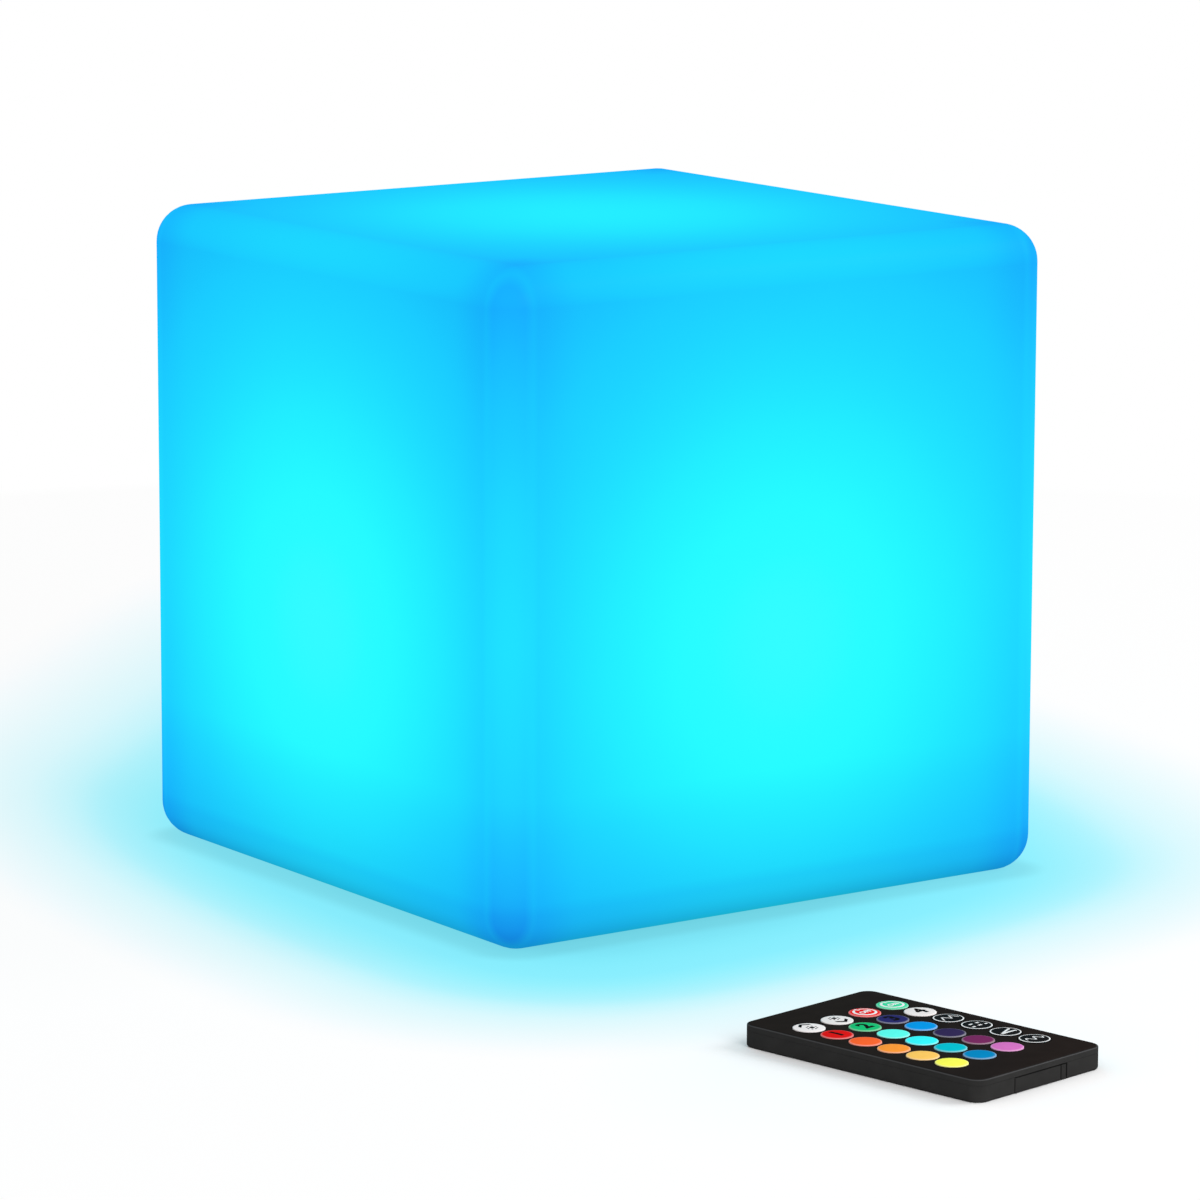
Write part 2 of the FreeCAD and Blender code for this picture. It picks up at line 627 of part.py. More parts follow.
def battery_cradle():
    """Base plate with two snap saddles, and an ear on each side for its screws."""
    base = plate(CRADLE_LENGTH, CRADLE_WIDTH, cup_floor_top, cradle_top, CRADLE_CORNER)
    ears = [plate(CRADLE_EAR, CRADLE_EAR, cup_floor_top, cradle_top, CRADLE_CORNER, x, y)
            for x, y in ear_places]
    saddle_x = CRADLE_LENGTH / 2 - SADDLE_LENGTH / 2
    saddles = [centred(SADDLE_LENGTH, CRADLE_WIDTH, cup_floor_top, cell_z + SADDLE_OVER_AXIS, side * saddle_x)
               for side in (-1, 1)]
    body = base.multiFuse(ears + saddles)
    cell_room = Part.makeCylinder(CELL_RADIUS + SADDLE_GAP, CELL_LENGTH,
                                  Vector(-CELL_LENGTH / 2, 0, cell_z), Vector(1, 0, 0))
    holes = [small_pass(x, y, cup_floor_top - OVERLAP, cradle_top + OVERLAP) for x, y in ear_places]
    return without(body, [cell_room] + holes).removeSplitter()


def battery_cell():
    """Round rechargeable cell lying along X, with the raised neck of its positive end."""
    start = Vector(-CELL_LENGTH / 2, 0, cell_z)
    body = Part.makeCylinder(CELL_RADIUS, CELL_LENGTH - CELL_NECK_HEIGHT, start, Vector(1, 0, 0))
    rims = [edge for edge in body.Edges if edge.BoundBox.XLength < 1e-4]
    body = body.makeFillet(CELL_EDGE, rims)
    neck = Part.makeCylinder(CELL_NECK_RADIUS, CELL_LENGTH, start, Vector(1, 0, 0))
    return body.fuse(neck).removeSplitter()


def battery_lead(side):
    """Lead from one end of the cell, down beside it, through the cup's floor to the control board."""
    low = control_top + LEAD_OVER_BOARD
    points = [(CELL_LENGTH / 2, cell_z), (lead_x, cell_z), (lead_x, low), (LEAD_PAD_X, low),
              (LEAD_PAD_X, control_top)]
    return wire([(side * x, 0.0, z) for x, z in points], LEAD_RADIUS, LEAD_BEND)


def led_leads():
    """Four leads side by side, from the control board up to the light board."""
    leads = []
    for step in range(RIBBON_WIRES):
        x = RIBBON_X + RIBBON_PITCH * (step - (RIBBON_WIRES - 1) / 2)
        middle = (control_top + led_board_z) / 2
        points = [(x, RIBBON_LOW_Y, control_top), (x, RIBBON_LOW_Y, middle - RIBBON_STEP),
                  (x, RIBBON_HIGH_Y, middle + RIBBON_STEP), (x, RIBBON_HIGH_Y, led_board_z)]
        leads.append(wire(points, RIBBON_RADIUS, RIBBON_BEND))
    return Part.makeCompound(leads)


def led_board():
    body = disc(led_board_radius, led_board_z, led_board_top)
    holes = [small_pass(x, y, led_board_z - OVERLAP, led_board_top + OVERLAP) for x, y in column_places]
    return without(body, holes)


def lamps(places):
    """Square lamps on the light board, each with its round window sunk into its top."""
    top = led_board_top + LED_HEIGHT
    bodies = []
    for x, y in places:
        window = disc(LED_WELL_RADIUS, top - LED_WELL_DEPTH, top + OVERLAP, x, y)
        bodies.append(centred(LED_SIZE, LED_SIZE, led_board_top, top, x, y).cut(window))
    return Part.makeCompound(bodies)


def ir_receiver():
    """Moulded receiver standing on the light board, with its round window to one side and above."""
    top = led_board_top + RECEIVER_HEIGHT
    body = centred(RECEIVER_WIDTH, RECEIVER_DEPTH, led_board_top, top)
    body = body.makeChamfer(RECEIVER_BEVEL, rim_edges(body, top))
    lens_z = top - RECEIVER_LENS_DROP - RECEIVER_LENS
    lens = Part.makeSphere(RECEIVER_LENS, Vector(0, -RECEIVER_DEPTH / 2, lens_z))
    return together([body, lens])


def dome_seal():
    body = ring(cup_radius - GASKET_MARGIN, rim_inner + GASKET_MARGIN, rim_top, flange_low)
    holes = [small_pass(x, y, rim_top - OVERLAP, flange_low + OVERLAP) for x, y in dome_screw_places]
    return without(body, holes)


def lens_dome():
    """Clear domed cover over the lamps, with a flat flange for its screws."""
    base_radius = rim_inner + DOME_WALL / 2
    sphere_radius = (base_radius ** 2 + DOME_RISE ** 2) / (2 * DOME_RISE)
    middle = Vector(0, 0, flange_top + DOME_RISE - sphere_radius)
    cap = Part.makeSphere(sphere_radius, middle)
    cap = cap.common(disc(base_radius, flange_low, flange_top + DOME_RISE + OVERLAP))
    body = cap.fuse(disc(cup_radius, flange_low, flange_top))
    cutters = [Part.makeSphere(sphere_radius - DOME_WALL, middle)]
    cutters += [small_pass(x, y, flange_low - OVERLAP, flange_top + OVERLAP) for x, y in dome_screw_places]
    return without(body, cutters).removeSplitter()


def dome_screws():
    return Part.makeCompound([small_screw(x, y, flange_top) for x, y in dome_screw_places])


# ---------------------------------------------------------------- remote control, in its own frame
# X across its width, Y along its length towards its top end, Z up from its underside.
key_places = {}
for row, names in enumerate(KEY_NAMES):
    for column, name in enumerate(names):
        key_places[name] = (KEY_PITCH_X * (column - (KEY_COLUMNS - 1) / 2),
                            KEY_PITCH_Y * ((KEY_ROWS - 1) / 2 - row))


def tray_mouth():
    """Gap in the end of the back case that the tray's front closes."""
    return block(TRAY_X - tray_half - TRAY_GAP, TRAY_X + tray_half + TRAY_GAP,
                 -half_length - OVERLAP, tray_back_of_front + TRAY_GAP, -OVERLAP, parting_z + OVERLAP)


def remote_back_case():
    """Open tub with a bevelled foot, ribs under the board and guides beside the battery tray."""
    body = plate(REMOTE_WIDTH, REMOTE_LENGTH, 0.0, parting_z, REMOTE_CORNER)
    body = body.makeChamfer(REMOTE_FOOT_BEVEL, rim_edges(body, 0.0))
    inner_width = REMOTE_WIDTH - 2 * REMOTE_WALL
    inner_length = REMOTE_LENGTH - 2 * REMOTE_WALL
    body = body.cut(plate(inner_width, inner_length, REMOTE_FLOOR, parting_z + OVERLAP,
                          REMOTE_CORNER - REMOTE_WALL))
    ribs = []
    for side in (-1, 1):
        edge = side * inner_width / 2
        low, high = sorted((edge, edge - side * SUPPORT_RIB))
        ribs.append(block(low, high, -inner_length / 2 + REMOTE_CORNER, inner_length / 2 - REMOTE_CORNER,
                          REMOTE_FLOOR, remote_board_low))
        edge = TRAY_X + side * (tray_half + TRAY_GAP)
        low, high = sorted((edge, edge + side * SUPPORT_RIB))
        ribs.append(block(low, high, -inner_length / 2, tray_end_y, REMOTE_FLOOR, remote_board_low))
    body = body.multiFuse(ribs)
    hole_y = half_length - REMOTE_WALL - EMITTER_HOLE_START
    emitter_hole = Part.makeCylinder(EMITTER_RADIUS + EMITTER_GAP, 2 * REMOTE_WALL,
                                     Vector(0, hole_y, emitter_z()), Vector(0, 1, 0))
    return without(body, [tray_mouth(), emitter_hole]).removeSplitter()


def key_holes(gap, low, high):
    return [disc(KEY_RADIUS + gap, low, high, x, y) for x, y in key_places.values()]


def remote_top_case():
    """Shallow lid with a bevelled top edge and a round hole for each key."""
    body = plate(REMOTE_WIDTH, REMOTE_LENGTH, parting_z, plate_top, REMOTE_CORNER)
    body = body.makeChamfer(REMOTE_TOP_BEVEL, rim_edges(body, plate_top))
    room = plate(REMOTE_WIDTH - 2 * REMOTE_WALL, REMOTE_LENGTH - 2 * REMOTE_WALL,
                 parting_z - OVERLAP, plate_low, REMOTE_CORNER - REMOTE_WALL)
    return without(body, [room] + key_holes(KEY_GAP, plate_low - OVERLAP, plate_top + OVERLAP))


def remote_face_sheet():
    """Thin black sheet that covers the lid inside its bevel."""
    body = plate(REMOTE_WIDTH - 2 * FACE_INSET, REMOTE_LENGTH - 2 * FACE_INSET, plate_top, face_top,
                 REMOTE_CORNER - FACE_INSET)
    return without(body, key_holes(KEY_GAP + SHEET_HOLE_GAP, plate_top - OVERLAP, face_top + OVERLAP))


def key(x, y):
    """Round key with a low dome and a thin collar that keeps it under the lid."""
    rim = face_top + KEY_PROUD
    barrel = disc(KEY_RADIUS, key_low, rim + KEY_DOME, x, y)
    sphere_radius = (KEY_RADIUS ** 2 + KEY_DOME ** 2) / (2 * KEY_DOME)
    barrel = barrel.common(Part.makeSphere(sphere_radius, Vector(x, y, rim + KEY_DOME - sphere_radius)))
    collar = disc(KEY_RADIUS + KEY_FLANGE, key_low, key_flange_top, x, y)
    return together([barrel, collar])


def remote_contact_sheet():
    return plate(REMOTE_WIDTH - 2 * (REMOTE_WALL + BOARD_SIDE_GAP),
                 REMOTE_LENGTH - 2 * (REMOTE_WALL + BOARD_SIDE_GAP),
                 remote_board_top, contact_sheet_top, REMOTE_CORNER - REMOTE_WALL)


def remote_circuit_board():
    return plate(REMOTE_WIDTH - 2 * (REMOTE_WALL + BOARD_SIDE_GAP),
                 REMOTE_LENGTH - 2 * (REMOTE_WALL + BOARD_SIDE_GAP),
                 remote_board_low, remote_board_top, REMOTE_CORNER - REMOTE_WALL)


def remote_chips():
    """Encoder chip, resonator and two small parts under the board."""
    return Part.makeCompound([centred(width, depth, remote_board_low - height, remote_board_low, x, y)
                              for width, depth, height, x, y in REMOTE_CHIPS])


def emitter_z():
    return remote_board_low - EMITTER_RADIUS - EMITTER_COLLAR


def remote_emitter():
    """Round infrared lamp under the board; its domed tip is flush with the remote's top end."""
    z = emitter_z()
    base_y = half_length - EMITTER_LENGTH
    body = Part.makeCylinder(EMITTER_RADIUS, EMITTER_LENGTH - EMITTER_RADIUS, Vector(0, base_y, z),
                             Vector(0, 1, 0))
    tip = Part.makeSphere(EMITTER_RADIUS, Vector(0, half_length - EMITTER_RADIUS, z))
    collar = Part.makeCylinder(EMITTER_RADIUS + EMITTER_COLLAR, EMITTER_COLLAR_LENGTH,
                               Vector(0, base_y, z), Vector(0, 1, 0))
    return together([body, tip, collar])


def battery_tray():
    """Sliding tray: front plate, pocket for the coin cell, and a latch finger beside a slot."""
    left = TRAY_X - tray_half
    right = TRAY_X + tray_half
    body = block(left, right, tray_back_of_front, tray_end_y, tray_low, tray_top)
    front = block(left, right, -half_length, tray_back_of_front, TRAY_LINE, parting_z - TRAY_LINE)
    body = body.fuse(front)
    pocket = disc(COIN_RADIUS + COIN_GAP, coin_low, tray_top + OVERLAP, TRAY_X, coin_y)
    notch = block(TRAY_X - TRAY_NOTCH, TRAY_X + TRAY_NOTCH, coin_y, tray_end_y + OVERLAP,
                  coin_low, tray_top + OVERLAP)
    slot_right = right - LATCH_WIDTH
    slot = block(slot_right - LATCH_SLOT, slot_right, -half_length - OVERLAP, -half_length + LATCH_LENGTH,
                 0.0, parting_z)
    return without(body, [pocket, notch, slot]).removeSplitter()


def coin_cell():
    """Flat round cell: a wide can with the smaller, raised contact face uppermost."""
    can = disc(COIN_RADIUS, coin_low, coin_top - COIN_STEP, TRAY_X, coin_y)
    face = disc(COIN_RADIUS - COIN_RIM, coin_low, coin_top, TRAY_X, coin_y)
    return together([can, face])


def coin_cell_contacts():
    """Two springy strips under the board: one reaches the cell's face, one its rim."""
    low = coin_top + CONTACT_GAP
    root = coin_y + COIN_RADIUS - COIN_RIM
    tip = coin_y
    outline = [(root, remote_board_low), (root, remote_board_low - CONTACT_THICK), (tip + CONTACT_TOE, low),
               (tip, low), (tip, low + CONTACT_THICK), (tip + CONTACT_TOE, low + CONTACT_THICK),
               (root - CONTACT_ROOT, remote_board_low)]
    corners = [Vector(TRAY_X - CONTACT_WIDTH / 2, y, z) for y, z in outline]
    face = Part.Face(Part.makePolygon(corners + corners[:1]))
    leaf = face.extrude(Vector(CONTACT_WIDTH, 0, 0))
    rim_y = coin_y + COIN_RADIUS + CONTACT_GAP
    post = block(TRAY_X - CONTACT_WIDTH / 2, TRAY_X + CONTACT_WIDTH / 2, rim_y, rim_y + CONTACT_THICK,
                 coin_low + 2 * CONTACT_GAP, remote_board_low)
    return Part.makeCompound([leaf, post])


# ---------------------------------------------------------------- every sub-part and its place
cube_parts = {
    "cube_shell": cube_shell(),
    "module_cover": module_cover(),
    "cover_gasket": cover_gasket(),
    "base_screws": base_screws(),
    "charge_socket": charge_socket(),
    "charge_port_plug": charge_port_plug(),
    "power_button": power_button(),
    "tact_switch": tact_switch(),
    "status_light": status_light(),
    "module_cup": module_cup(),
    "control_board": control_board(),
    "board_chips": board_chips(),
    "board_screws": board_screws(),
    "battery_cradle": battery_cradle(),
    "battery_cell": battery_cell(),
    "battery_lead_red": battery_lead(1),
    "battery_lead_black": battery_lead(-1),
    "led_leads": led_leads(),
    "led_board": led_board(),
    "colour_leds": lamps(around(COLOUR_RING, COLOUR_LEDS)),
    "white_leds": lamps(around(WHITE_RING, WHITE_LEDS, DIAGONAL)),
    "ir_receiver": ir_receiver(),
    "dome_seal": dome_seal(),
    "lens_dome": lens_dome(),
    "dome_screws": dome_screws(),
}

remote_parts = {
    "remote_back_case": remote_back_case(),
    "remote_top_case": remote_top_case(),
    "remote_face_sheet": remote_face_sheet(),
    "remote_contact_sheet": remote_contact_sheet(),
    "remote_circuit_board": remote_circuit_board(),
    "remote_chips": remote_chips(),
    "remote_emitter": remote_emitter(),
    "battery_tray": battery_tray(),
    "coin_cell": coin_cell(),
    "coin_cell_contacts": coin_cell_contacts(),
}
for name, (x, y) in key_places.items():
    remote_parts["key_" + name] = key(x, y)

remote_turn = FreeCAD.Rotation(Vector(0, 0, 1), REMOTE_TURN)
remote_place = FreeCAD.Placement(Vector(REMOTE_X, REMOTE_Y, 0), remote_turn)
parts = dict(cube_parts)
for name, shape in remote_parts.items():
    parts[name] = shape.transformed(remote_place.toMatrix(), copy=True)

os.makedirs("parts", exist_ok=True)
for name, shape in parts.items():
    shape.exportStep("parts/" + name + ".step")
    print(name, len(shape.Solids), "solids", round(shape.Volume, 1), "mm3", "valid", shape.isValid())
print(len(parts), "sub-parts")
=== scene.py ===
import bmesh
import bpy
import json
import math
from mathutils import Matrix, Quaternion, Vector


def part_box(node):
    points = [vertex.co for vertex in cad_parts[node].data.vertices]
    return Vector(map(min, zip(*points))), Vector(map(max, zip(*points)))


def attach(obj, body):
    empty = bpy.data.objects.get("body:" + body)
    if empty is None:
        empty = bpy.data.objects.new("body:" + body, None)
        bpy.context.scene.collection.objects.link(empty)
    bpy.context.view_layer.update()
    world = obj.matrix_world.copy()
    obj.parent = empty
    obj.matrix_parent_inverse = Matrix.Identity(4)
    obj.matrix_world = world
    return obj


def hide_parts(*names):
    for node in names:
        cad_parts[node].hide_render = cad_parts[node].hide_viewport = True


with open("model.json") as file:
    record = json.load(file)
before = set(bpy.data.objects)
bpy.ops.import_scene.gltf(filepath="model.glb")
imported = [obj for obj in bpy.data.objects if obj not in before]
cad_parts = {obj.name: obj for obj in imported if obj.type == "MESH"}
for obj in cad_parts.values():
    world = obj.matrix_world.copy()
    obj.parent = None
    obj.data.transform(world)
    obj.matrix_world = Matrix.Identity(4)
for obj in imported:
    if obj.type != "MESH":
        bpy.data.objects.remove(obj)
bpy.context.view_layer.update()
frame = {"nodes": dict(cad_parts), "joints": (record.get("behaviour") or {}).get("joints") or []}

# A cube light of glowing plastic and the slim card remote that belongs to it.
# Lengths are in metres; those of the small parts are written in millimetres times MM.
MM = 0.001
CLOSE = 1e-6                    # two places nearer than this are the same
SPARE = 1 * MM                  # how far a cutter runs past the face that it opens
nodes_of_cad = frame["nodes"]

# ---------------------------------------------------------------- sizes of the cube
CUBE_HALF = 100 * MM
CUBE_TOP = 200 * MM
CUBE_EDGE = 11.5 * MM           # radius of its rounded edges
CUBE_WALL = 3 * MM
RECESS_RADIUS = 50 * MM         # round recess in the base, which takes the light module
RECESS_TOP = 6 * MM
LEDGE_TOP = 9 * MM              # top of the ledge round it, which the module is screwed to
MOUTH_RADIUS = 41 * MM          # opening in the ledge, into the cube
BOSS_COUNT = 6
BOSS_START = 30                 # degrees from X to the first of them
BOSS_CIRCLE = 45.5 * MM
BOSS_RADIUS = 4 * MM
BOSS_TOP = 16 * MM
PILOT_RADIUS = 1.5 * MM
PILOT_TOP = 12.9 * MM
RECESS_LIP = 0.8 * MM           # rounding of the recess's edge
LIP_SLACK = 0.05 * MM           # how far a point of that edge may lie off the true circle

# ---------------------------------------------------------------- sizes of the remote
CARD_HALF_WIDTH = 26 * MM
CARD_HALF_LENGTH = 42.5 * MM
CARD_CORNER = 4 * MM
CARD_WALL = 1.5 * MM
CARD_FLOOR = 0.9 * MM
JOINT_LINE = 4.6 * MM           # height at which lid and back case meet
BOARD_UNDERSIDE = 4.1 * MM
LID_ROOM = 5.8 * MM             # height of the hollow under the lid
LID_TOP = 6.35 * MM
SHEET_TOP = 6.5 * MM
SHEET_INSET = 0.6 * MM
FOOT_BEVEL = 0.7 * MM
LID_BEVEL = 0.35 * MM
JOINT_BEVEL = 0.08 * MM
SHEET_BEVEL = 0.05 * MM
RIB = 1.2 * MM                  # thickness of the ribs that carry the board
LID_HOLE = 4.65 * MM            # radii of the holes that the keys stand in
SHEET_HOLE = 4.7 * MM
EMITTER_HOLE = 1.6 * MM
EMITTER_HEIGHT = 2.55 * MM

TRAY_MIDDLE = -0.5 * MM
TRAY_HALF = 10.65 * MM
TRAY_GAP = 0.25 * MM            # room between the tray and the case
TRAY_FRONT = 1.6 * MM           # thickness of the tray's front plate
TRAY_BEVEL = 0.2 * MM           # rounding of that plate's outer edges
TRAY_LOW = 0.95 * MM
TRAY_TOP = 3.6 * MM
TRAY_END = -18.4 * MM
TRAY_LINE = 0.15 * MM           # the front plate keeps this far from the underside and the joint line
TRAY_GROOVE = 0.15 * MM         # and leaves this much more room at its sides and top
TRAY_ENTRY = 0.1 * MM           # and the tray behind it enters it by this much
COIN_MIDDLE = -29.2 * MM
COIN_POCKET = 10.1 * MM         # radius of the pocket for the coin cell, and the height of its floor
COIN_LOW = 1.15 * MM
LATCH_WIDTH = 2.1 * MM
LATCH_SLOT = 0.4 * MM
LATCH_LENGTH = 6 * MM
NOTCH_HALF = 3 * MM             # half the width of the notch from the pocket to the tray's end

KEY_PITCH_ACROSS = 11.4 * MM
KEY_PITCH_ALONG = 10.2 * MM
KEY_RADIUS = 4.5 * MM
KEY_COLLAR = 4.9 * MM           # radius of the collar that keeps a key under the lid
KEY_LOW = 5.4 * MM
KEY_COLLAR_TOP = 5.75 * MM
KEY_DOME_RADIUS = 50 * MM
KEY_TOP = 6.9 * MM
BARREL_DROP = 0.13 * MM         # how far the top of a key's barrel lies under the dome's curve
# Rings that shape the key's shoulder and dome: the radius of each, and how far it lies under that curve.
SHOULDER = ((4.46 * MM, 0.07 * MM), (4.36 * MM, 0.02 * MM))
DOME = tuple((radius * MM, 0.0) for radius in (4.2, 3.7, 3.1, 2.4, 1.6, 0.8))

MARK_THICK = 0.04 * MM
MARK_STEP = 0.6 * MM            # longest stretch of a mark that is laid on the dome as one straight line
WELD = 0.004 * MM               # points of an arc that are nearer than this become one
# Marks are drawn about the middle of their key, in plain millimetres and degrees.
SLIVER = 0.02                   # breadth of the bar that a stroke or an arc is drawn out from
STROKE = 0.7                    # width of the line signs
RING_INNER = 3.95
RING_OUTER = 4.3
LETTER_WEIGHT = 0.045           # how much letters are thickened, as a share of their size

KEY_ROWS = (
    ("brighter", "dimmer", "off", "on"),
    ("red", "green", "blue", "white"),
    ("scarlet", "turquoise", "sky", "flash"),
    ("orange", "cyan", "indigo", "strobe"),
    ("amber", "teal", "plum", "fade"),
    ("yellow", "ocean", "orchid", "smooth"),
)
KEY_COLOURS = {
    "brighter": (0.85, 0.79, 0.78), "dimmer": (0.80, 0.75, 0.74), "off": (0.84, 0.018, 0.018),
    "on": (0.05, 0.66, 0.34), "red": (0.71, 0.008, 0.008), "green": (0.012, 0.50, 0.17),
    "blue": (0.024, 0.023, 0.13), "white": (0.84, 0.77, 0.75), "scarlet": (0.96, 0.13, 0.028),
    "turquoise": (0.11, 0.94, 0.80), "sky": (0.003, 0.30, 0.76), "flash": (0.010, 0.010, 0.011),
    "orange": (0.98, 0.31, 0.038), "cyan": (0.04, 0.90, 0.93), "indigo": (0.034, 0.022, 0.085),
    "strobe": (0.010, 0.010, 0.011), "amber": (0.99, 0.57, 0.12), "teal": (0.003, 0.50, 0.60),
    "plum": (0.185, 0.023, 0.108), "fade": (0.010, 0.010, 0.011), "yellow": (0.98, 0.96, 0.10),
    "ocean": (0.003, 0.235, 0.51), "orchid": (0.66, 0.165, 0.52), "smooth": (0.010, 0.010, 0.011),
}
RING_KEYS = ("flash", "strobe", "fade", "smooth")
NUMBERED_KEYS = KEY_ROWS[1]
DARK_MARKED_KEYS = ("brighter", "dimmer", *NUMBERED_KEYS)    # on the others, marks are white


# ---------------------------------------------------------------- shaping by hand
def work_on(piece):
    bpy.ops.object.select_all(action="DESELECT")
    piece.select_set(True)
    bpy.context.view_layer.objects.active = piece


def settled(name):
    """The new object, named, with its place and size put into its mesh."""
    piece = bpy.context.object
    piece.name = piece.data.name = name
    bpy.ops.object.transform_apply(location=True, rotation=True, scale=True)
    return piece


def block(name, low, high):
    low, high = Vector(low), Vector(high)
    bpy.ops.object.select_all(action="DESELECT")
    bpy.ops.mesh.primitive_cube_add(size=1, location=(low + high) / 2, scale=high - low)
    return settled(name)


def drum(name, radius, low, high, x=0.0, y=0.0, sides=48):
    bpy.ops.object.select_all(action="DESELECT")
    bpy.ops.mesh.primitive_cylinder_add(vertices=sides, radius=radius, depth=high - low,
                                        location=(x, y, (low + high) / 2))
    return settled(name)


def choose(piece, kind, test):
    """In edit mode, select only the edges or faces that pass the test."""
    work_on(piece)
    bpy.ops.object.mode_set(mode="EDIT")
    bpy.ops.mesh.select_mode(type=kind)
    bpy.ops.mesh.select_all(action="DESELECT")
    shape = bmesh.from_edit_mesh(piece.data)
    for item in (shape.edges if kind == "EDGE" else shape.faces):
        if test(item):
            item.select_set(True)
    shape.select_flush_mode()
    bmesh.update_edit_mesh(piece.data)


def soften(piece, test, radius, steps):
    """Round the edges that pass the test."""
    choose(piece, "EDGE", test)
    bpy.ops.mesh.bevel(offset=radius, segments=steps, affect="EDGES")
    bpy.ops.object.mode_set(mode="OBJECT")


def every(edge):
    return True


def upright(edge):
    """An edge that runs straight up the whole side of a block."""
    one, two = edge.verts
    return (one.co - two.co).xy.length < CLOSE and abs(one.co.z - two.co.z) > CLOSE


def at_height(z):
    return lambda edge: all(abs(vert.co.z - z) < CLOSE for vert in edge.verts)


def on_outline(z):
    """An edge at one height that lies on the card's outline, between an upright side and the flat."""
    return lambda edge: at_height(z)(edge) and any(abs(face.normal.z) < 0.5 for face in edge.link_faces)


def fit(piece, tool, way):
    """Cut the tool out of the piece, or join it on."""
    work_on(piece)
    bpy.ops.object.modifier_add(type="BOOLEAN")
    cut = piece.modifiers[-1]
    cut.operation = way
    cut.solver = "EXACT"
    cut.object = tool
    bpy.ops.object.modifier_apply(modifier=cut.name)
    bpy.data.objects.remove(tool)


def joined(name, pieces):
    bpy.ops.object.select_all(action="DESELECT")
    for piece in pieces:
        piece.select_set(True)
    bpy.context.view_layer.objects.active = pieces[0]
    if len(pieces) > 1:
        bpy.ops.object.join()
    pieces[0].name = pieces[0].data.name = name
    return pieces[0]


def smoothed(piece, angle=32):
    """Smooth shading that stays crisp at corners, led by the large flat faces."""
    work_on(piece)
    bpy.ops.object.shade_smooth_by_angle(angle=math.radians(angle))
    bpy.ops.object.modifier_add(type="WEIGHTED_NORMAL")
    piece.modifiers[-1].keep_sharp = True
    bpy.ops.object.modifier_apply(modifier=piece.modifiers[-1].name)


def around(radius, count, first=0.0):
    angles = [math.radians(first + 360 * step / count) for step in range(count)]
    return [(radius * math.cos(angle), radius * math.sin(angle)) for angle in angles]


def finished(piece, material, body, slot, *replaced):
    piece.data.materials.clear()
    piece.data.materials.append(material)
    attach(piece, body)
    if replaced:
        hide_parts(*replaced)


# ---------------------------------------------------------------- finishes
WHITE = (1.0, 1.0, 1.0, 1.0)
NOISE_LOW = 0.3                 # the values of a noise lie mostly between these two
NOISE_HIGH = 0.7
COARSE_GRAIN = 0.02 * MM        # how deep the grain of a moulding is
GRAIN = 0.01 * MM
FINE_GRAIN = 0.004 * MM


class Nodes:
    """A tree of shader nodes, with helpers that add them and give what each one puts out."""

    def __init__(self, tree):
        self.tree = tree

    def add(self, kind, **settings):
        node = self.tree.nodes.new("ShaderNode" + kind)
        for name, value in settings.items():
            setattr(node, name, value)
        return node

    def link(self, source, target):
        self.tree.links.new(source, target)

    def give(self, value, target):
        """Link a node's output to an input, or set the input to a number, place or colour."""
        if isinstance(value, bpy.types.NodeSocket):
            self.link(value, target)
        else:
            target.default_value = value

    def math(self, operation, first, second=0.0):
        node = self.add("Math", operation=operation)
        self.give(first, node.inputs[0])
        self.give(second, node.inputs[1])
        return node.outputs[0]

    def vector(self, operation, first, second=(0.0, 0.0, 0.0)):
        """Subtracted vectors give a vector, and the other operations used here give a number."""
        node = self.add("VectorMath", operation=operation)
        self.give(first, node.inputs[0])
        self.give(second, node.inputs[1])
        return node.outputs["Vector" if operation == "SUBTRACT" else "Value"]

    def parts(self, vector):
        """The X, Y and Z of a vector."""
        node = self.add("SeparateXYZ")
        self.link(vector, node.inputs[0])
        return node.outputs

    def past(self, value, start, gain=1.0):
        """How far a value lies past the start, and 0 before it, times the gain."""
        return self.math("MULTIPLY", self.math("MAXIMUM", self.math("SUBTRACT", value, start), 0.0), gain)

    def spread(self, value, low, high, to_low, to_high, way="LINEAR"):
        node = self.add("MapRange", interpolation_type=way)
        self.link(value, node.inputs["Value"])
        for name, number in (("From Min", low), ("From Max", high), ("To Min", to_low), ("To Max", to_high)):
            node.inputs[name].default_value = number
        return node.outputs["Result"]

    def ramp(self, value, stops):
        node = self.add("ValToRGB")
        self.link(value, node.inputs["Fac"])
        elements = node.color_ramp.elements
        while len(elements) < len(stops):
            elements.new(1.0)
        for element, (place, colour) in zip(elements, stops):
            element.position = place
            element.color = (*colour, 1.0)
        return node.outputs["Color"]

    def mixed(self, share, one, other, way="MIX"):
        """Two colours mixed: the share says how much of the other shows."""
        node = self.add("Mix", data_type="RGBA", blend_type=way)
        for value, name in ((share, "Factor"), (one, "A"), (other, "B")):
            self.give(value, node.inputs[name])
        return node.outputs["Result"]

    def looked_at(self):
        """1 where the camera looks, also by way of gloss or clear plastic, and 0 for light that falls."""
        ray = self.add("LightPath")
        by_way = self.math("MAXIMUM", ray.outputs["Is Glossy Ray"], ray.outputs["Is Transmission Ray"])
        return self.math("MAXIMUM", ray.outputs["Is Camera Ray"], by_way)

    def show(self, share, one, other, output):
        """Send two shaders to the output: the share says how much of the other shows."""
        node = self.add("MixShader")
        for socket, value in zip(node.inputs, (share, one.outputs[0], other.outputs[0])):
            self.link(value, socket)
        self.link(node.outputs[0], self.tree.nodes[output].inputs["Surface"])


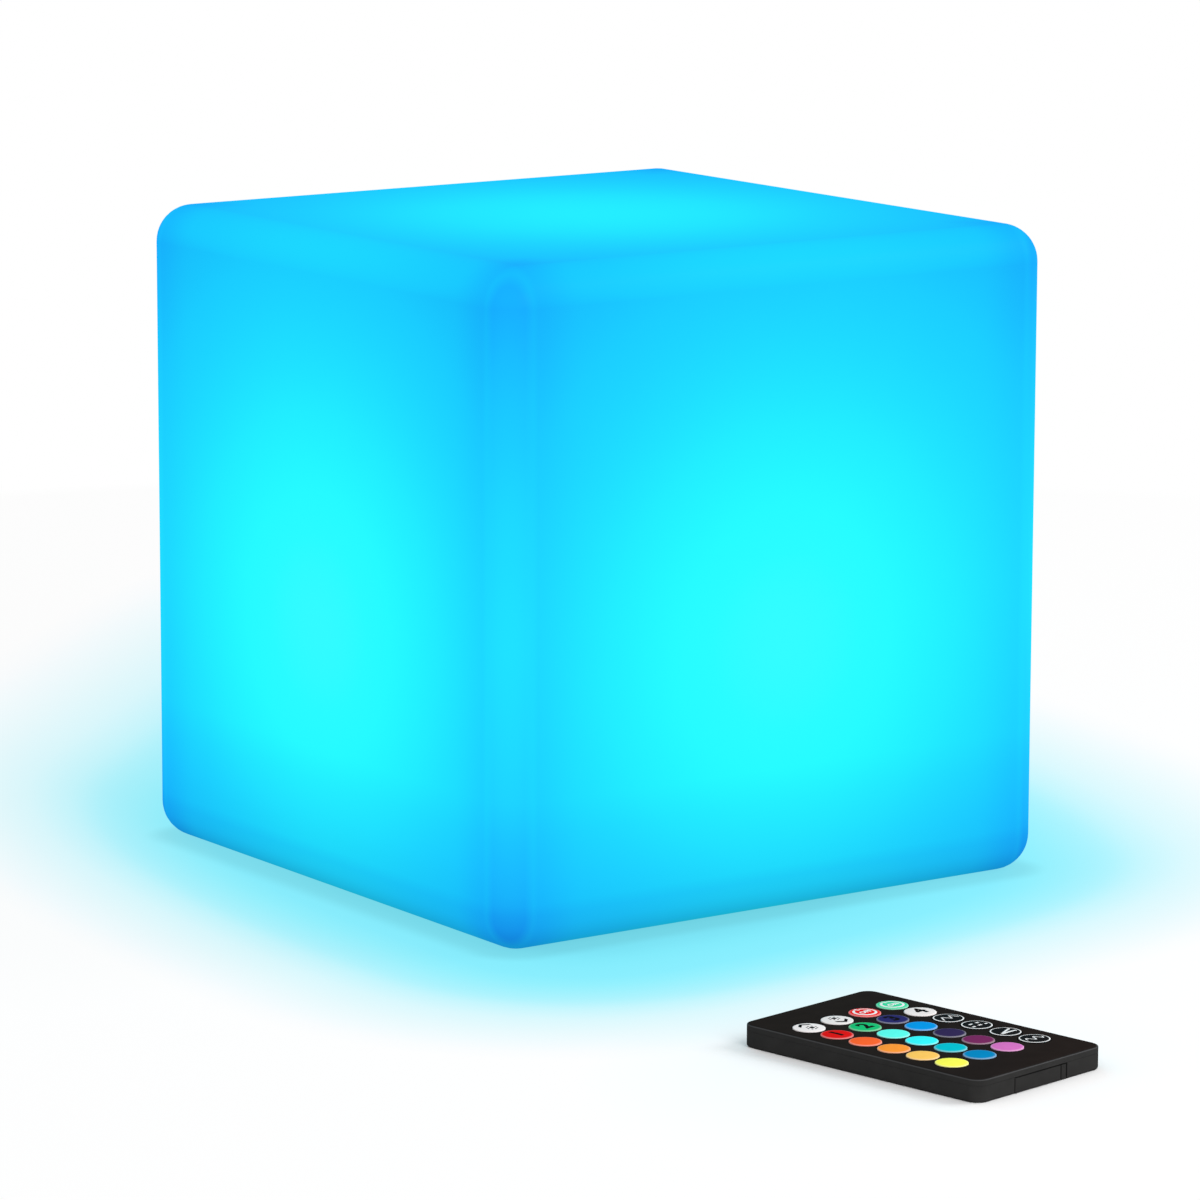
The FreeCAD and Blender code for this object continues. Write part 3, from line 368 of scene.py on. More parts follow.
class Finish(Nodes):
    """A new material with its shader, patterned by places on the piece."""

    def __init__(self, name):
        self.material = bpy.data.materials.new(name)
        self.material.use_nodes = True
        super().__init__(self.material.node_tree)
        self.shader = self.tree.nodes["Principled BSDF"]
        coordinates = self.add("TexCoord")
        self.place, self.normal = coordinates.outputs["Object"], coordinates.outputs["Normal"]

    def set(self, **values):
        """Link or set inputs of the shader, named with _ for a space."""
        for name, value in values.items():
            self.give(value, self.shader.inputs[name.replace("_", " ")])

    def noise(self, scale, detail=2.0, roughness=0.5):
        node = self.add("TexNoise")
        node.inputs["Scale"].default_value = scale
        node.inputs["Detail"].default_value = detail
        node.inputs["Roughness"].default_value = roughness
        self.link(self.place, node.inputs["Vector"])
        return node.outputs["Fac"]

    def clouded(self, noise, dark, light):
        """A colour that clouds from dark to light with the noise."""
        return self.ramp(noise, [(NOISE_LOW, dark), (NOISE_HIGH, light)])

    def uneven(self, noise, low, high):
        """A number that wavers between low and high with the noise."""
        return self.spread(noise, NOISE_LOW, NOISE_HIGH, low, high)

    def grain(self, scale, depth):
        """Fine moulded grain on the surface."""
        bump = self.add("Bump")
        bump.inputs["Distance"].default_value = depth
        bump.inputs["Strength"].default_value = 1.0
        self.link(self.noise(scale, 3.0), bump.inputs["Height"])
        self.set(Normal=bump.outputs["Normal"])

    def on_slopes(self, colour, lighter, stops):
        """The colour, painted lighter where the surface slopes as a painted highlight: stops give how much,
        by how far it faces up.
        """
        facing = self.parts(self.normal)["Z"]
        share = self.ramp(facing, [(place, (part, part, part)) for place, part in stops])
        return self.mixed(share, colour, (*lighter, 1.0))


def shade(colour, by):
    return tuple(min(1.0, part * by) for part in colour)


def plastic(name, colour, rough=0.45, specular=0.4, mottle=0.05, cloud=60, grain=2500, coat=0.0):
    """Moulded plastic: faint clouding of the colour, uneven gloss and a fine grain."""
    finish = Finish(name)
    clouds = finish.noise(cloud, 3.0)
    finish.set(Base_Color=finish.clouded(clouds, shade(colour, 1 - mottle), shade(colour, 1 + mottle)),
               Roughness=finish.uneven(finish.noise(cloud * 3), rough - 0.05, rough + 0.05),
               Specular_IOR_Level=specular, Coat_Weight=coat, Coat_Roughness=0.1)
    finish.grain(grain, GRAIN)
    return finish.material


def metal(name, colour, rough=0.3, streak=900, mottle=0.08):
    """Plated metal, with fine turning marks and uneven polish."""
    finish = Finish(name)
    marks = finish.noise(streak, 4.0, 0.7)
    streaks = [(0.25, shade(colour, 1 - mottle)), (0.75, shade(colour, 1 + mottle))]
    finish.set(Base_Color=finish.ramp(marks, streaks),
               Roughness=finish.uneven(marks, rough - 0.08, rough + 0.1), Metallic=1.0)
    finish.grain(streak * 2, FINE_GRAIN)
    return finish.material


def clear(name, tint, rough=0.03, through=1.0):
    """Clear or smoky moulding that light passes through."""
    finish = Finish(name)
    finish.set(Base_Color=finish.clouded(finish.noise(80), shade(tint, 0.97), tint),
               Roughness=finish.uneven(finish.noise(300), rough, rough + 0.03),
               Transmission_Weight=through, IOR=1.49)
    return finish.material


def board(name, mask, copper, pitch):
    """Circuit board: solder mask with the paler lines of the copper tracks under it."""
    finish = Finish(name)
    tracks = finish.add("TexBrick", offset=0.37, squash=1.0)
    for socket, value in (("Vector", finish.place), ("Scale", 1 / pitch), ("Mortar Size", 0.04),
                          ("Mortar Smooth", 0.2), ("Color1", (*mask, 1)), ("Color2", (*shade(mask, 0.9), 1)),
                          ("Mortar", (*copper, 1))):
        finish.give(value, tracks.inputs[socket])
    finish.set(Base_Color=tracks.outputs["Color"], Roughness=finish.uneven(finish.noise(400), 0.25, 0.35))
    finish.grain(1500, GRAIN)
    return finish.material


# Colour of the painted glow by how strongly the lamps would light the inside of the wall, from weak to
# strong.
GLOW = (
    (0.00, (0.004, 0.18, 0.62)), (0.10, (0.005, 0.34, 0.86)), (0.19, (0.006, 0.46, 0.94)),
    (0.30, (0.008, 0.59, 0.98)), (0.48, (0.011, 0.73, 0.98)), (0.59, (0.013, 0.82, 0.98)),
    (0.72, (0.015, 0.90, 0.98)), (0.80, (0.017, 0.94, 0.98)), (0.90, (0.020, 0.95, 0.98)),
    (1.00, (0.030, 0.95, 0.98)),
)
# Share of that glow by height over the floor: painted shade where the wall's foot lies below the lamps.
FOOT_HEIGHT = 60 * MM
FOOT = (
    (0.00, (0.76, 0.58, 0.60)), (0.03, (0.71, 0.52, 0.65)), (0.06, (0.74, 0.54, 0.73)),
    (0.13, (0.82, 0.66, 0.86)), (0.25, (0.90, 0.84, 0.96)), (0.42, (0.94, 0.89, 1.00)),
    (0.58, (0.96, 0.93, 1.00)), (0.75, (1.00, 1.00, 1.00)),
)
# Share of it on the upright rounded edges and the flat sides near them, a painted shade that darkens the glow
# there, by height up to the cube's top.
EDGE = (
    (0.02, (0.70, 0.56, 0.92)), (0.09, (0.86, 0.76, 0.99)), (0.23, (0.93, 0.87, 1.00)),
    (0.45, (0.97, 0.95, 1.00)), (0.65, (0.96, 0.94, 1.00)), (0.80, (0.92, 0.88, 1.00)),
    (0.93, (0.87, 0.77, 1.00)), (1.00, (0.84, 0.70, 1.00)),
)
EDGE_GAIN = 3.0                 # how fast that share comes in as the wall turns round an edge
EDGE_START = 72 * MM            # where on a flat side it begins to show, and how much of it does
EDGE_END = 90 * MM
EDGE_SPILL = 0.42
LAMPS_HEIGHT = 83 * MM
TOP = (0.82, 0.92, 1.00, 1.0)   # painted shade: share of the glow where the wall faces up
DARK_CYAN = (0.002, 0.020, 0.028)
CYAN_SHEEN = (0.002, 0.024, 0.032)


def lamp_light(finish):
    """How strongly a point inside lights the wall: 1 at the middle of a side, level with it."""
    away = finish.vector("SUBTRACT", finish.place, (0, 0, LAMPS_HEIGHT))
    outwards = finish.vector("DOT_PRODUCT", away, finish.normal)
    falling = finish.math("DIVIDE", outwards, finish.math("POWER", finish.vector("LENGTH", away), 3.0))
    return finish.math("MULTIPLY", falling, CUBE_HALF ** 2)


def glowing_plastic():
    """Milky plastic whose glow is painted light: emission shaded as a wall lit from one point inside,
    brightest where it is nearest.
    """
    finish = Finish("glowing_plastic")
    # a trace of clouding, as in any thick moulded wall
    clouds = finish.uneven(finish.noise(28, 3.0), 0.994, 1.006)
    glow = finish.ramp(finish.math("MULTIPLY", lamp_light(finish), clouds), GLOW)

    place, facing = finish.parts(finish.place), finish.parts(finish.normal)
    foot = finish.ramp(finish.spread(place["Z"], 0.0, FOOT_HEIGHT, 0.0, 1.0), FOOT)
    corner = finish.math("ABSOLUTE", finish.math("MULTIPLY", facing["X"], facing["Y"]))
    beside = finish.math("MINIMUM", finish.math("ABSOLUTE", place["X"]), finish.math("ABSOLUTE", place["Y"]))
    beside = finish.spread(beside, EDGE_START, EDGE_END, 0.0, EDGE_SPILL, "SMOOTHSTEP")
    at_edge = finish.math("MAXIMUM", finish.math("MULTIPLY", corner, EDGE_GAIN), beside)
    edge = finish.ramp(finish.spread(place["Z"], 0.0, CUBE_TOP, 0.0, 1.0), EDGE)
    for share in (foot, finish.mixed(at_edge, WHITE, edge), finish.mixed(facing["Z"], WHITE, TOP)):
        glow = finish.mixed(1.0, glow, share, "MULTIPLY")

    finish.set(Emission_Color=glow, Emission_Strength=1.0,
               Base_Color=finish.clouded(finish.noise(40), DARK_CYAN, CYAN_SHEEN),
               Roughness=finish.uneven(finish.noise(200), 0.42, 0.52),
               Specular_IOR_Level=0.0, Coat_Weight=0.012, Coat_Roughness=0.3)
    finish.grain(1400, GRAIN)
    return finish.material


def key_finish(name, colour, rim_light):
    """Soft key under a clear skin, whose rounded rim is painted lighter as a painted highlight."""
    finish = Finish("key_" + name)
    own = finish.clouded(finish.noise(500, 3.0), shade(colour, 0.97), shade(colour, 1.03))
    painted_rim_highlight = tuple(part + rim_light * (1 - part) for part in colour)
    finish.set(Base_Color=finish.on_slopes(own, painted_rim_highlight, [(0.90, 1.0), (0.985, 0.75), (0.995, 0.0)]),
               Roughness=finish.uneven(finish.noise(1500), 0.30, 0.40),
               Specular_IOR_Level=0.0, Coat_Weight=0.012, Coat_Roughness=0.12)
    finish.grain(1800, FINE_GRAIN)
    return finish.material


def black_plastic(name, colour, edge, rough, coat=0.04):
    """Satin black moulding, with a painted highlight along its softened edges: the colour there is lighter.
    """
    finish = Finish(name)
    own = finish.clouded(finish.noise(200, 3.0), shade(colour, 0.92), shade(colour, 1.08))
    finish.set(Base_Color=finish.on_slopes(own, edge, [(0.15, 0.0), (0.45, 1.0), (0.85, 1.0), (0.97, 0.0)]),
               Roughness=finish.uneven(finish.noise(600), rough - 0.05, rough + 0.05),
               Specular_IOR_Level=0.0, Coat_Weight=coat, Coat_Roughness=0.25)
    finish.grain(3500, COARSE_GRAIN)
    return finish.material


RIM_LIGHT = 0.22                # how much lighter a key's rim is painted, as a painted highlight
glow = glowing_plastic()
# The second colour of each black plastic is the painted highlight on its softened edges.
black_case = black_plastic("black_case", (0.0255, 0.025, 0.0245), (0.056, 0.056, 0.058), rough=0.42)
tray_black = black_plastic("tray_black", (0.024, 0.0235, 0.023), (0.024, 0.024, 0.024), rough=0.46)
face_film = black_plastic("face_film", (0.0168, 0.0120, 0.0105), (0.03, 0.03, 0.03), rough=0.35, coat=0.012)
dark_print = plastic("dark_print", (0.008, 0.008, 0.009), rough=0.4, specular=0.0, cloud=500)
white_print = plastic("white_print", (0.84, 0.84, 0.84), rough=0.4, specular=0.0, cloud=500)
white_moulding = plastic("white_moulding", (0.74, 0.75, 0.74), rough=0.42, cloud=50)
grey_rubber = plastic("grey_rubber", (0.10, 0.105, 0.11), rough=0.75, specular=0.25, grain=1500)
white_rubber = plastic("white_rubber", (0.62, 0.63, 0.62), rough=0.7, specular=0.25, grain=1500)
grey_button = plastic("grey_button", (0.17, 0.185, 0.20), rough=0.4, grain=2000)
black_moulding = plastic("black_moulding", (0.018, 0.018, 0.019), rough=0.5, grain=1800)
battery_sleeve = plastic("battery_sleeve", (0.012, 0.05, 0.26), rough=0.22, coat=0.5, mottle=0.04)
red_insulation = plastic("red_insulation", (0.40, 0.006, 0.004), rough=0.5, cloud=150)
black_insulation = plastic("black_insulation", (0.015, 0.015, 0.015), rough=0.5, cloud=150)
white_insulation = plastic("white_insulation", (0.70, 0.70, 0.68), rough=0.5, cloud=150)
lamp_white = plastic("lamp_white", (0.80, 0.76, 0.58), rough=0.25, cloud=400, mottle=0.08)
screw_steel = metal("screw_steel", (0.55, 0.55, 0.56), rough=0.32)
nickel = metal("nickel", (0.66, 0.65, 0.62), rough=0.22)
cell_steel = metal("cell_steel", (0.62, 0.61, 0.60), rough=0.2, streak=500)
spring_bronze = metal("spring_bronze", (0.62, 0.40, 0.15), rough=0.3)
green_board = board("green_board", (0.006, 0.075, 0.024), (0.02, 0.16, 0.06), 5 * MM)
white_board = board("white_board", (0.74, 0.74, 0.72), (0.64, 0.64, 0.60), 9 * MM)
clear_dome = clear("clear_dome", (0.95, 0.98, 0.99))
clear_film = clear("clear_film", (0.80, 0.79, 0.70), rough=0.2, through=0.6)
red_lamp = clear("red_lamp", (0.70, 0.03, 0.02), rough=0.1, through=0.7)
smoky_lamp = clear("smoky_lamp", (0.05, 0.02, 0.08), rough=0.08, through=0.6)


# ---------------------------------------------------------------- the cube
def cube_shell():
    """Hollow cube with soft edges; its base steps up round the recess for the light module."""
    shell = block("shell", (-CUBE_HALF, -CUBE_HALF, 0), (CUBE_HALF, CUBE_HALF, CUBE_TOP))
    soften(shell, every, CUBE_EDGE, 12)
    inner = CUBE_HALF - CUBE_WALL
    room = block("room", (-inner, -inner, CUBE_WALL), (inner, inner, CUBE_TOP - CUBE_WALL))
    soften(room, every, CUBE_EDGE - CUBE_WALL, 6)
    fit(shell, room, "DIFFERENCE")
    fit(shell, drum("well", RECESS_RADIUS + CUBE_WALL, 0, LEDGE_TOP, sides=96), "UNION")
    screw_places = around(BOSS_CIRCLE, BOSS_COUNT, BOSS_START)
    bosses = [drum("boss", BOSS_RADIUS, RECESS_TOP + SPARE, BOSS_TOP, x, y) for x, y in screw_places]
    fit(shell, joined("bosses", bosses), "UNION")
    fit(shell, drum("recess", RECESS_RADIUS, -SPARE, RECESS_TOP, sides=96), "DIFFERENCE")
    fit(shell, drum("mouth", MOUTH_RADIUS, 0, LEDGE_TOP + SPARE, sides=96), "DIFFERENCE")
    pilots = [drum("pilot", PILOT_RADIUS, 0, PILOT_TOP, x, y, sides=24) for x, y in screw_places]
    fit(shell, joined("pilots", pilots), "DIFFERENCE")
    at_base = at_height(0.0)
    soften(shell, lambda edge: at_base(edge) and all(abs(vert.co.xy.length - RECESS_RADIUS) < LIP_SLACK
                                                     for vert in edge.verts), RECESS_LIP, 3)
    smoothed(shell)
    finished(shell, glow, "cube", "glowing_shell", "cube_shell")


# ---------------------------------------------------------------- the remote, modelled square to the axes
# X runs across it, Y along it towards its top end, and Z up from its underside.
slide = next(joint for joint in frame["joints"] if joint["name"] == "coin_tray_slide")
lid_low, lid_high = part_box("remote_top_case")
remote_place = Matrix.Translation(((lid_low.x + lid_high.x) / 2, (lid_low.y + lid_high.y) / 2, 0)) \
    @ Matrix.Rotation(math.atan2(slide["axis"][0], -slide["axis"][1]), 4, "Z")
key_places = {}
for row, names in enumerate(KEY_ROWS):
    for column, name in enumerate(names):
        key_places[name] = (KEY_PITCH_ACROSS * (column - 1.5), KEY_PITCH_ALONG * (2.5 - row))


def lay_on_floor(piece):
    """Carry a piece from the square position to where the remote lies."""
    work_on(piece)
    piece.matrix_world = remote_place @ piece.matrix_world
    bpy.ops.object.transform_apply(location=True, rotation=True, scale=True)


def card(name, inset, low, high):
    """A plate of the remote's outline, or inside it by inset, with its four corners rounded."""
    x, y = CARD_HALF_WIDTH - inset, CARD_HALF_LENGTH - inset
    plate = block(name, (-x, -y, low), (x, y, high))
    soften(plate, upright, CARD_CORNER - inset, 8)
    return plate


def key_holes(radius, low, high):
    return joined("holes", [drum("hole", radius, low, high, x, y) for x, y in key_places.values()])


def remote_back():
    """Tub with a softened foot, ribs under the board, and the mouth for the coin cell's tray."""
    back = card("remote_back", 0, 0, JOINT_LINE)
    soften(back, on_outline(0.0), FOOT_BEVEL, 3)
    fit(back, card("tub", CARD_WALL, CARD_FLOOR, JOINT_LINE + SPARE), "DIFFERENCE")
    x, y = CARD_HALF_WIDTH - CARD_WALL, CARD_HALF_LENGTH - CARD_WALL
    ribs = []
    for side in (-1, 1):
        outer, inner = side * (x + CARD_WALL / 2), side * (x - RIB)
        ribs.append(block("rib", (min(outer, inner), CARD_CORNER - y, CARD_FLOOR / 2),
                          (max(outer, inner), y - CARD_CORNER, BOARD_UNDERSIDE)))
        inner = TRAY_MIDDLE + side * (TRAY_HALF + TRAY_GAP)
        outer = inner + side * RIB
        ribs.append(block("rib", (min(outer, inner), -y - CARD_WALL / 2, CARD_FLOOR / 2),
                          (max(outer, inner), TRAY_END, BOARD_UNDERSIDE)))
    fit(back, joined("ribs", ribs), "UNION")
    reach = TRAY_HALF + TRAY_GAP
    mouth = block("mouth", (TRAY_MIDDLE - reach, -CARD_HALF_LENGTH - SPARE, -SPARE),
                  (TRAY_MIDDLE + reach, -CARD_HALF_LENGTH + TRAY_FRONT + TRAY_GAP, JOINT_LINE + SPARE))
    fit(back, mouth, "DIFFERENCE")
    bpy.ops.object.select_all(action="DESELECT")
    bpy.ops.mesh.primitive_cylinder_add(vertices=32, radius=EMITTER_HOLE, depth=3 * CARD_WALL,
                                        location=(0, CARD_HALF_LENGTH - CARD_WALL / 2, EMITTER_HEIGHT),
                                        rotation=(math.pi / 2, 0, 0))
    fit(back, settled("emitter_hole"), "DIFFERENCE")
    smoothed(back)
    lay_on_floor(back)
    finished(back, black_case, "remote", "black_case", "remote_back_case")


def remote_lid():
    """Shallow lid with a softened top edge and a round hole for each key."""
    lid = card("remote_lid", 0, JOINT_LINE, LID_TOP)
    soften(lid, on_outline(LID_TOP), LID_BEVEL, 3)
    soften(lid, on_outline(JOINT_LINE), JOINT_BEVEL, 1)
    fit(lid, card("lid_room", CARD_WALL, JOINT_LINE - SPARE, LID_ROOM), "DIFFERENCE")
    fit(lid, key_holes(LID_HOLE, LID_ROOM - SPARE, LID_TOP + SPARE), "DIFFERENCE")
    smoothed(lid)
    lay_on_floor(lid)
    finished(lid, black_case, "remote", "black_case", "remote_top_case")


def remote_sheet():
    """Thin sheet on the lid, inside its bevel."""
    sheet = card("remote_sheet", SHEET_INSET, LID_TOP, SHEET_TOP)
    soften(sheet, on_outline(SHEET_TOP), SHEET_BEVEL, 2)
    fit(sheet, key_holes(SHEET_HOLE, LID_TOP - SPARE, SHEET_TOP + SPARE), "DIFFERENCE")
    smoothed(sheet)
    lay_on_floor(sheet)
    finished(sheet, face_film, "remote", "face_sheet", "remote_face_sheet")


def coin_tray():
    """Tray for the coin cell: front plate with softened edges, round pocket and latch finger."""
    left, right = TRAY_MIDDLE - TRAY_HALF, TRAY_MIDDLE + TRAY_HALF
    front_back = -CARD_HALF_LENGTH + TRAY_FRONT
    tray = block("coin_tray", (left, front_back - TRAY_ENTRY, TRAY_LOW), (right, TRAY_END, TRAY_TOP))
    front = block("front", (left + TRAY_GROOVE, -CARD_HALF_LENGTH, TRAY_LINE),
                  (right - TRAY_GROOVE, front_back, JOINT_LINE - TRAY_LINE - TRAY_GROOVE))
    soften(front, lambda edge: all(abs(vert.co.y + CARD_HALF_LENGTH) < CLOSE for vert in edge.verts),
           TRAY_BEVEL, 2)
    fit(tray, front, "UNION")
    fit(tray, drum("pocket", COIN_POCKET, COIN_LOW, TRAY_TOP + SPARE, TRAY_MIDDLE, COIN_MIDDLE, 64),
        "DIFFERENCE")
    notch = block("notch", (TRAY_MIDDLE - NOTCH_HALF, COIN_MIDDLE, COIN_LOW),
                  (TRAY_MIDDLE + NOTCH_HALF, TRAY_END + SPARE, TRAY_TOP + SPARE))
    fit(tray, notch, "DIFFERENCE")
    slot = block("slot", (right - LATCH_WIDTH - LATCH_SLOT, -CARD_HALF_LENGTH - SPARE, -SPARE),
                 (right - LATCH_WIDTH, -CARD_HALF_LENGTH + LATCH_LENGTH, JOINT_LINE + SPARE))
    fit(tray, slot, "DIFFERENCE")
    smoothed(tray)
    lay_on_floor(tray)
    finished(tray, tray_black, "coin_tray", "black_case", "battery_tray")


# ---------------------------------------------------------------- keys and what is printed on them
def dome_height(radius):
    return KEY_TOP - KEY_DOME_RADIUS + math.sqrt(KEY_DOME_RADIUS ** 2 - radius ** 2)


def plain_key():
    """Round key: collar below the lid, barrel, softened shoulder and a low dome."""
    cap = drum("cap", KEY_COLLAR, KEY_LOW, KEY_COLLAR_TOP, sides=64)
    choose(cap, "FACE", lambda face: face.normal.z > 0.9)
    bpy.ops.mesh.inset(thickness=KEY_COLLAR - KEY_RADIUS, depth=0)
    reached, radius = dome_height(KEY_RADIUS) - BARREL_DROP, KEY_RADIUS
    bpy.ops.mesh.extrude_region_move(TRANSFORM_OT_translate={"value": (0, 0, reached - KEY_COLLAR_TOP)})
    for inner, drop in SHOULDER + DOME:
        height = dome_height(inner) - drop
        bpy.ops.mesh.inset(thickness=radius - inner, depth=0)
        bpy.ops.transform.translate(value=(0, 0, height - reached))
        reached, radius = height, inner
    bpy.ops.object.mode_set(mode="OBJECT")
    return cap


def flat_bar(width, height, x, y):
    bpy.ops.object.select_all(action="DESELECT")
    bpy.ops.mesh.primitive_plane_add(size=1, location=(x * MM, y * MM, 0))
    bpy.context.object.scale = (width * MM, height * MM, 1)
    return settled("bar")


def flat_dot(radius, x, y):
    bpy.ops.object.select_all(action="DESELECT")
    bpy.ops.mesh.primitive_circle_add(vertices=24, radius=radius * MM, fill_type="NGON",
                                      location=(x * MM, y * MM, 0))
    return settled("dot")


def ribbon(points, width):
    """A printed stroke that runs through points; its ends are upright."""
    x, y = points[0]
    start = flat_bar(SLIVER, width, x, y)
    edge_x = (x + SLIVER / 2) * MM
    choose(start, "EDGE", lambda edge: all(abs(vert.co.x - edge_x) < CLOSE for vert in edge.verts))
    for here, there in zip(points, points[1:]):
        step = ((there[0] - here[0]) * MM, (there[1] - here[1]) * MM, 0)
        bpy.ops.mesh.extrude_region_move(TRANSFORM_OT_translate={"value": step})
    bpy.ops.object.mode_set(mode="OBJECT")
    return start


def arc(inner, outer, first, sweep):
    """A printed ring, or a part of one that starts at the angle first, round the key's middle."""
    rib = flat_bar(outer - inner, SLIVER, (inner + outer) / 2, SLIVER / 2)
    choose(rib, "EDGE", lambda edge: all(vert.co.y > SLIVER / 2 * MM for vert in edge.verts))
    bpy.ops.mesh.spin(steps=max(8, round(sweep / 7)), angle=math.radians(sweep), center=(0, 0, 0),
                      axis=(0, 0, 1))
    bpy.ops.mesh.select_all(action="SELECT")
    bpy.ops.mesh.remove_doubles(threshold=WELD)
    bpy.ops.object.mode_set(mode="OBJECT")
    rib.matrix_world = Matrix.Rotation(math.radians(first), 4, "Z")
    return settled("arc")


def lettered(words, size, x, y):
    bpy.ops.object.select_all(action="DESELECT")
    bpy.ops.object.text_add(location=(x * MM, y * MM, 0))
    text = bpy.context.object
    text.data.body = words
    text.data.size = size * MM
    text.data.align_x = "CENTER"
    text.data.align_y = "CENTER"
    text.data.resolution_u = 4
    text.data.offset = LETTER_WEIGHT * size * MM
    bpy.ops.object.convert(target="MESH")
    return settled("words")


def small_sun(y):
    """A disc with eight dots round it for rays."""
    rays = [flat_dot(0.28, ray_x, y + ray_y) for ray_x, ray_y in around(1.45, 8)]
    return [flat_dot(0.75, 0, y)] + rays


def power_sign(words):
    return [arc(2.75, 3.45, 74, 328), ribbon([(-0.3, 3.0), (0.3, 3.0)], 1.8), lettered(words, 2.4, 0, -0.3)]


def drawn(name):
    """The flat marks of one key, in its own middle."""
    if name == "brighter":
        return [ribbon([(-2.1, 1.5), (0, 3.1), (2.1, 1.5)], 1.15)] + small_sun(-1.1)
    if name == "dimmer":
        return [ribbon([(-2.1, -1.5), (0, -3.1), (2.1, -1.5)], 1.15)] + small_sun(1.1)
    if name in ("off", "on"):
        return power_sign(name.upper())
    if name in NUMBERED_KEYS:
        return [lettered(str(NUMBERED_KEYS.index(name) + 1), 6.4, 0, 0)]
    signs = {
        "flash": [[(-3.0, -1.1), (-1.5, 1.2), (0, -1.2), (1.5, 1.2), (3.0, -1.1)]],
        "strobe": [[(-3.0, -1.1), (-2.0, -1.1), (-2.0, 1.1), (-0.7, 1.1), (-0.7, -1.1), (0.7, -1.1),
                    (0.7, 1.1), (2.0, 1.1), (2.0, -1.1), (3.0, -1.1)]],
        "fade": [[(-3.0, -1.2), (3.0, 1.2)], [(-3.0, -1.2), (3.0, -1.2)]],
        "smooth": [[(0.25 * step - 3.0, 1.1 * math.sin(step * math.pi / 6)) for step in range(25)]],
    }
    return [ribbon(points, STROKE) for points in signs.get(name, ())]


def printed(name, marks, cap):
    """Join a key's marks, lay them on its dome and give them the thickness of paint."""
    mark = joined("mark_" + name, marks)
    choose(mark, "FACE", lambda face: face.normal.z < 0)
    bpy.ops.mesh.flip_normals()
    for _ in range(2):
        bpy.ops.object.mode_set(mode="OBJECT")
        choose(mark, "EDGE", lambda edge: edge.calc_length() > MARK_STEP)
        bpy.ops.mesh.subdivide(number_cuts=2)
    bpy.ops.mesh.select_all(action="SELECT")
    bpy.ops.transform.translate(value=(0, 0, 2 * KEY_TOP))
    bpy.ops.object.mode_set(mode="OBJECT")
    bpy.ops.object.modifier_add(type="SHRINKWRAP")
    wrap = mark.modifiers[-1]
    wrap.target = cap
    wrap.wrap_method = "PROJECT"
    wrap.use_project_z = True
    wrap.use_negative_direction = True
    wrap.use_positive_direction = False
    bpy.ops.object.modifier_apply(modifier=wrap.name)
    bpy.ops.object.modifier_add(type="SOLIDIFY")
    mark.modifiers[-1].thickness = MARK_THICK
    mark.modifiers[-1].offset = 0.0
    bpy.ops.object.modifier_apply(modifier=mark.modifiers[-1].name)
    return mark


def set_in_place(piece, name):
    piece.matrix_world = Matrix.Translation((*key_places[name], 0)) @ piece.matrix_world
    lay_on_floor(piece)


def keys():
    """Each key is a copy of one model, with its own colour and its marks as a second piece."""
    model = plain_key()
    for name in key_places:
        marks = drawn(name)
        if name in RING_KEYS:
            marks.append(arc(RING_INNER, RING_OUTER, 0, 360))
        mark = printed(name, marks, model) if marks else None
        work_on(model)
        bpy.ops.object.duplicate(linked=False)
        cap = settled("cap_" + name)
        smoothed(cap, angle=40)
        set_in_place(cap, name)
        finish = key_finish(name, KEY_COLOURS[name], 0.0 if name in RING_KEYS else RIM_LIGHT)
        finished(cap, finish, "key_" + name, "key_" + name, "key_" + name)
        if mark:
            set_in_place(mark, name)
            dark = name in DARK_MARKED_KEYS
            finished(mark, dark_print if dark else white_print, "key_" + name,
                     "face_sheet" if dark else "key_white")
    bpy.data.objects.remove(model)


# ---------------------------------------------------------------- pieces kept as they are, with their finish
KEPT = {
    white_moulding: ("module_cover", "module_cup"),
    grey_rubber: ("cover_gasket", "dome_seal"),
    white_rubber: ("charge_port_plug",),
    grey_button: ("power_button",),
    black_moulding: ("tact_switch", "board_chips", "battery_cradle", "ir_receiver", "remote_chips"),
    battery_sleeve: ("battery_cell",),
    red_insulation: ("battery_lead_red",),
    black_insulation: ("battery_lead_black",),
    white_insulation: ("led_leads",),
    lamp_white: ("colour_leds", "white_leds"),
    screw_steel: ("base_screws", "board_screws", "dome_screws"),
    nickel: ("charge_socket",),
    cell_steel: ("coin_cell",),
    spring_bronze: ("coin_cell_contacts",),
    green_board: ("control_board", "remote_circuit_board"),
    white_board: ("led_board",),
    clear_dome: ("lens_dome",),
    clear_film: ("remote_contact_sheet",),
    red_lamp: ("status_light",),
    smoky_lamp: ("remote_emitter",),
}


def dress_kept_pieces():
    for material, names in KEPT.items():
        for name in names:
            for slot in nodes_of_cad[name].material_slots:
                slot.material = material


# ---------------------------------------------------------------- floor, light and camera
# Painted light: colour of the white floor where the cube's glow tints it, by distance from where the glow
# starts to fade.
FLOOR_GLOW = (
    (0.00, (0.20, 0.77, 0.89)), (0.17, (0.21, 0.78, 0.91)), (0.24, (0.23, 0.83, 0.96)),
    (0.30, (0.245, 0.85, 0.98)), (0.38, (0.26, 0.86, 0.99)), (0.44, (0.30, 0.88, 0.99)),
    (0.49, (0.35, 0.89, 0.99)), (0.54, (0.41, 0.90, 0.99)), (0.57, (0.46, 0.91, 0.99)),
    (0.62, (0.58, 0.93, 0.99)), (0.70, (0.72, 0.95, 0.99)), (0.80, (0.83, 0.965, 0.99)),
    (0.88, (0.91, 0.98, 1.00)), (0.94, (0.97, 0.99, 1.00)), (1.00, (1.00, 1.00, 1.00)),
)
